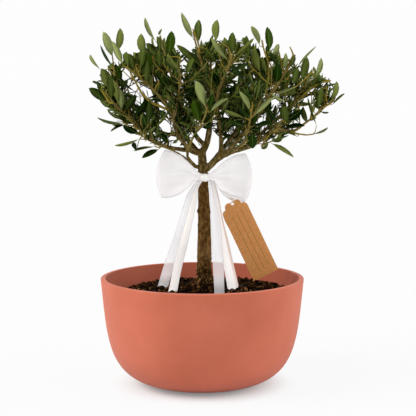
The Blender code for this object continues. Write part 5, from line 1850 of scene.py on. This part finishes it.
bpy.ops.mesh.primitive_cube_add(size=1, location=KNOT)
knot = bpy.context.object
choose(knot)
knot.scale = KNOT_SIZE
bpy.ops.object.transform_apply(location=True, rotation=False, scale=True)
bpy.ops.object.mode_set(mode="EDIT")
bpy.ops.mesh.select_all(action="SELECT")
bpy.ops.mesh.bevel(offset=KNOT_EASED, segments=5, affect="EDGES")
bpy.ops.mesh.subdivide(number_cuts=5)
bpy.ops.object.mode_set(mode="OBJECT")
for vert in knot.data.vertices:
    across = (vert.co.x - KNOT.x) / (KNOT_SIZE.x / 2)
    up = (vert.co.z - KNOT.z) / (KNOT_SIZE.z / 2)
    waist = 1 - KNOT_WAIST * (1 - up * up)
    pleat = math.cos(across * math.pi * KNOT_PLEATS / 2 + 0.5 * up) * KNOT_PLEAT_RISE
    if vert.co.y < KNOT.y:
        vert.co.y -= pleat * 1.6 + 0.0006 * (1 - across * across)
    vert.co.x = KNOT.x + (vert.co.x - KNOT.x) * waist
    vert.co.z += 0.00035 * math.cos(across * 6.0) * up
knot.data.shade_smooth()
knot.data.materials.append(white_satin)
settle(knot, "satin_knot", "satin", "bow_knot")

trunk_at_bow = along(trunk, up_trunk(KNOT.z))
band_radius = trunk_radius(KNOT.z) + 0.0009


def band_point(u, v):
    """The ribbon's turn round the trunk, in three soft pleats that lie one over another."""
    turn = math.tau * u
    up = (v - 0.5) * BAND_HEIGHT * (1 + 0.12 * math.sin(2 * turn))
    out = band_radius + 0.00035 * math.cos(v * math.tau * 3 + 0.5 * math.sin(turn))
    x = trunk_at_bow.x + out * math.cos(turn)
    y = trunk_at_bow.y + out * math.sin(turn)
    return Vector((x, y, KNOT.z + up))


band = ribbon("bow_band", BAND_STEPS, band_point, BAND_THICKNESS)
band.data.materials.append(white_satin)
settle(band, "satin_band", "satin", "bow_band")


# Tag and its thread
# A brown card label with a scalloped head, ruled with three lines and otherwise bare, stood in the
# bowl against the wall. It is drawn flat and bent a little. A thin twisted thread ties it to the knot.

TAG_HOLE = Vector((0.0361, -0.0070, 0.2236))
TAG_FOOT_LEFT = Vector((0.0647, 0.0330, 0.1213))
TAG_FOOT_RIGHT = Vector((0.0944, 0.0330, 0.1357))
TAG_THICKNESS = 0.0006
TAG_HOLE_RADIUS = 0.0019
TAG_CURL = 0.0008
CARD_LENGTH = 0.10
CARD_GLOW = (0.130, 0.210, 0.23, 0.03)  # painted glow on the card's foot: from and to in height, its strength there
# Its outline in the photo, in pixels, from the lower left corner up and round
TAG_OUTLINE = (
    (254.3, 281.0), (253.3, 280.2), (252.4, 278.2), (246.0, 264.6), (236.0, 243.4), (229.2, 229.2),
    (227.3, 225.7), (225.0, 221.3), (223.4, 217.0), (222.85, 214.6), (223.1, 213.0), (223.9, 211.8),
    (225.2, 210.7), (225.4, 210.1), (225.0, 208.7), (224.9, 207.2), (225.4, 205.6), (226.4, 204.2),
    (227.8, 203.5), (229.3, 203.3), (230.4, 203.3), (231.1, 202.4), (232.2, 201.7), (233.6, 201.3),
    (234.7, 200.7), (235.9, 199.8), (237.3, 199.4), (238.7, 199.8), (239.8, 200.7), (240.8, 202.2),
    (241.4, 202.9), (242.4, 202.2), (243.8, 202.0), (245.5, 202.6), (246.9, 203.6), (247.8, 205.0),
    (248.9, 207.3), (257.8, 226.0), (268.0, 247.6), (277.3, 267.0), (278.1, 268.8), (277.9, 269.5),
)
TAG_HOLE_SEEN = (232.45, 204.0)
# Where each ruled line starts and ends, in pixels
TAG_LINES = (
    ((240.6, 209.2), (268.6, 264.6)), ((236.4, 213.0), (264.4, 268.4)), ((232.2, 216.8), (259.6, 271.0)),
)
LINE_BREADTH = 0.00032
LINE_THICKNESS = 0.00008
LINE_STEPS = 12
HOLE_SIDES = 28
THREAD_RADIUS = 0.00028
THREAD_TURNS = 64
THREAD_SIDES = 6
THREAD_STEPS = 320
BEHIND_LOOP = ((216.0, 183.2, -0.0060), (224.2, 191.6, -0.0035), (231.6, 199.2, -0.0062))
COIL_STEPS = 14  # it winds twice beside the hole

tag_across = (TAG_FOOT_RIGHT - TAG_FOOT_LEFT).normalized()
tag_down = (TAG_FOOT_LEFT + TAG_FOOT_RIGHT) / 2 - TAG_HOLE
tag_down = (tag_down - tag_across * tag_down.dot(tag_across)).normalized()
tag_out = tag_across.cross(-tag_down)


def on_tag(across, down):
    """Where the card's flat shows at this pixel, as lengths along it and across it."""
    sight = seen_at(across, down, 0) - CAMERA_PLACE
    reach = (TAG_HOLE - CAMERA_PLACE).dot(tag_out) / sight.dot(tag_out)
    spot = CAMERA_PLACE + sight * reach - TAG_HOLE
    return spot.dot(tag_across), -spot.dot(tag_down)


def bend_card(spot):
    """Bends a flat point of the card: its middle goes back a little."""
    down_card = min(max(-(spot.y / CARD_LENGTH), 0), 1)
    return Vector((spot.x, spot.y, spot.z - TAG_CURL * math.sin(math.pi * down_card) * 1.2))


def card_piece(name, outlines, thickness, lift):
    """A flat shape with these outlines, given its thickness and cut fine enough to bend."""
    bpy.ops.curve.primitive_bezier_circle_add()
    shape = bpy.context.object
    shape.data.dimensions = "2D"
    shape.data.fill_mode = "BOTH"
    shape.data.splines.clear()
    for outline in outlines:
        edge = shape.data.splines.new("POLY")
        edge.points.add(len(outline) - 1)
        for item, (x, y) in zip(edge.points, outline):
            item.co = (x, y, 0, 1)
        edge.use_cyclic_u = True
    choose(shape)
    bpy.ops.object.convert(target="MESH")
    flat = bpy.context.object
    flat.name = name
    bpy.ops.object.mode_set(mode="EDIT")
    bpy.ops.mesh.select_all(action="SELECT")
    bpy.ops.mesh.remove_doubles(threshold=0.00001)
    bpy.ops.mesh.subdivide(number_cuts=2)
    bpy.ops.object.mode_set(mode="OBJECT")
    thicken(flat, thickness)
    frame_of_card = Matrix((tag_across, -tag_down, tag_out)).transposed()
    for vert in flat.data.vertices:
        vert.co = TAG_HOLE + frame_of_card @ bend_card(vert.co + Vector((0, 0, lift)))
    bpy.ops.object.shade_smooth_by_angle(angle=math.radians(35))
    return flat


def rounded(outline):
    """The outline drawn as a smooth closed curve, with four points for each of its own."""
    ringed = [Vector(point) for point in (outline[-1], *outline, outline[0], outline[1])]
    drawn = []
    for before, start, end, after in zip(ringed, ringed[1:], ringed[2:], ringed[3:]):
        drawn += [curve_between(before, start, end, after, step / 4) for step in range(4)]
    return drawn


# Brown card, faintly flecked with fibres that lie along it. Its foot has a painted glow, for the light the
# bowl throws on it.
KRAFT_TONES = [
    (0.34, (0.630, 0.285, 0.094)), (0.52, (0.685, 0.318, 0.108)), (0.70, (0.740, 0.355, 0.130)),
]
kraft = finish_of("kraft card", (0.68, 0.315, 0.108), 0.85, 0.05)
flecked = blended(kraft.node_tree, mottled(kraft.node_tree, 420, (1, 1, 0.8), 7.0), KRAFT_TONES)
painted_glow = ranged(kraft.node_tree, coordinate(kraft.node_tree, "Object", "Z"), *CARD_GLOW)
dress(kraft, Base_Color=flecked, Emission_Color=flecked, Emission_Strength=painted_glow)
bumped(kraft, mottled(kraft.node_tree, 1400), 0.10, 0.0002)

hole_across, hole_up = on_tag(*TAG_HOLE_SEEN)
hole = []
for step in range(HOLE_SIDES):
    turn = math.tau * step / HOLE_SIDES
    across = hole_across + TAG_HOLE_RADIUS * math.cos(turn)
    hole.append((across, hole_up + TAG_HOLE_RADIUS * math.sin(turn)))
tag = card_piece("tag", [[on_tag(*point) for point in rounded(TAG_OUTLINE)], hole], TAG_THICKNESS, 0)
tag.data.materials.append(kraft)
settle(tag, "card_tag", "kraft_card", "tag")

ruled = []
for start, end in TAG_LINES:
    start = Vector(on_tag(*start))
    end = Vector(on_tag(*end))
    aside = (end - start).orthogonal().normalized() * LINE_BREADTH / 2
    steps = [start.lerp(end, step / LINE_STEPS) for step in range(LINE_STEPS + 1)]
    ruled.append([spot + aside for spot in steps] + [spot - aside for spot in reversed(steps)])
lines = card_piece("lines", ruled, LINE_THICKNESS, TAG_THICKNESS / 2 + LINE_THICKNESS / 2)
lines.data.materials.append(finish_of("brown ink", (0.100, 0.042, 0.014), 0.7, 0.1))
settle(lines, "tag_lines", "kraft_card")

bridge = TAG_HOLE + tag_across * hole_across - tag_down * (hole_up + TAG_HOLE_RADIUS + 0.0006)
hold = TAG_HOLE + tag_across * hole_across - tag_down * (hole_up + TAG_HOLE_RADIUS - THREAD_RADIUS * 2)
knot_side = KNOT + Vector((KNOT_SIZE.x / 2 - 0.0006, 0.0016, -0.0030))
behind = [seen_at(*place) for place in BEHIND_LOOP]
coil = []
for step in range(COIL_STEPS):
    turn = math.tau * step / 6
    aside = Vector((0.0011 * math.cos(turn) + 0.0011, 0.0004 * step / 7, 0.0009 * math.sin(turn)))
    coil.append(behind[2] + aside)
thread_way = [
    knot_side, *behind, *coil,
    bridge + tag_out * 0.0009, hold + tag_out * 0.0007, hold - tag_out * 0.0007, bridge - tag_out * 0.0009,
    behind[2] + Vector((0.0006, 0.0016, 0)), behind[1] + Vector((0, 0.0009, 0.0006)),
    knot_side + Vector((0.0002, 0.0010, 0.0004)),
]
thread = Strands()
for ply in (0, math.pi):
    winding = []
    for step in range(THREAD_STEPS + 1):
        spot = on_curve(thread_way, step / THREAD_STEPS)
        turn = math.tau * THREAD_TURNS * step / THREAD_STEPS + ply
        winding.append(spot + Vector((math.cos(turn), math.sin(turn), 0)) * THREAD_RADIUS * 0.7)
    thread.add(winding, [THREAD_RADIUS] * len(winding), THREAD_SIDES)
cotton = finish_of("cotton thread", (0.90, 0.82, 0.70), 0.8, 0.1)
dress(cotton, Sheen_Weight=0.1)
settle(thread.piece("thread", cotton), "tag_thread", "thread", "tag_thread")
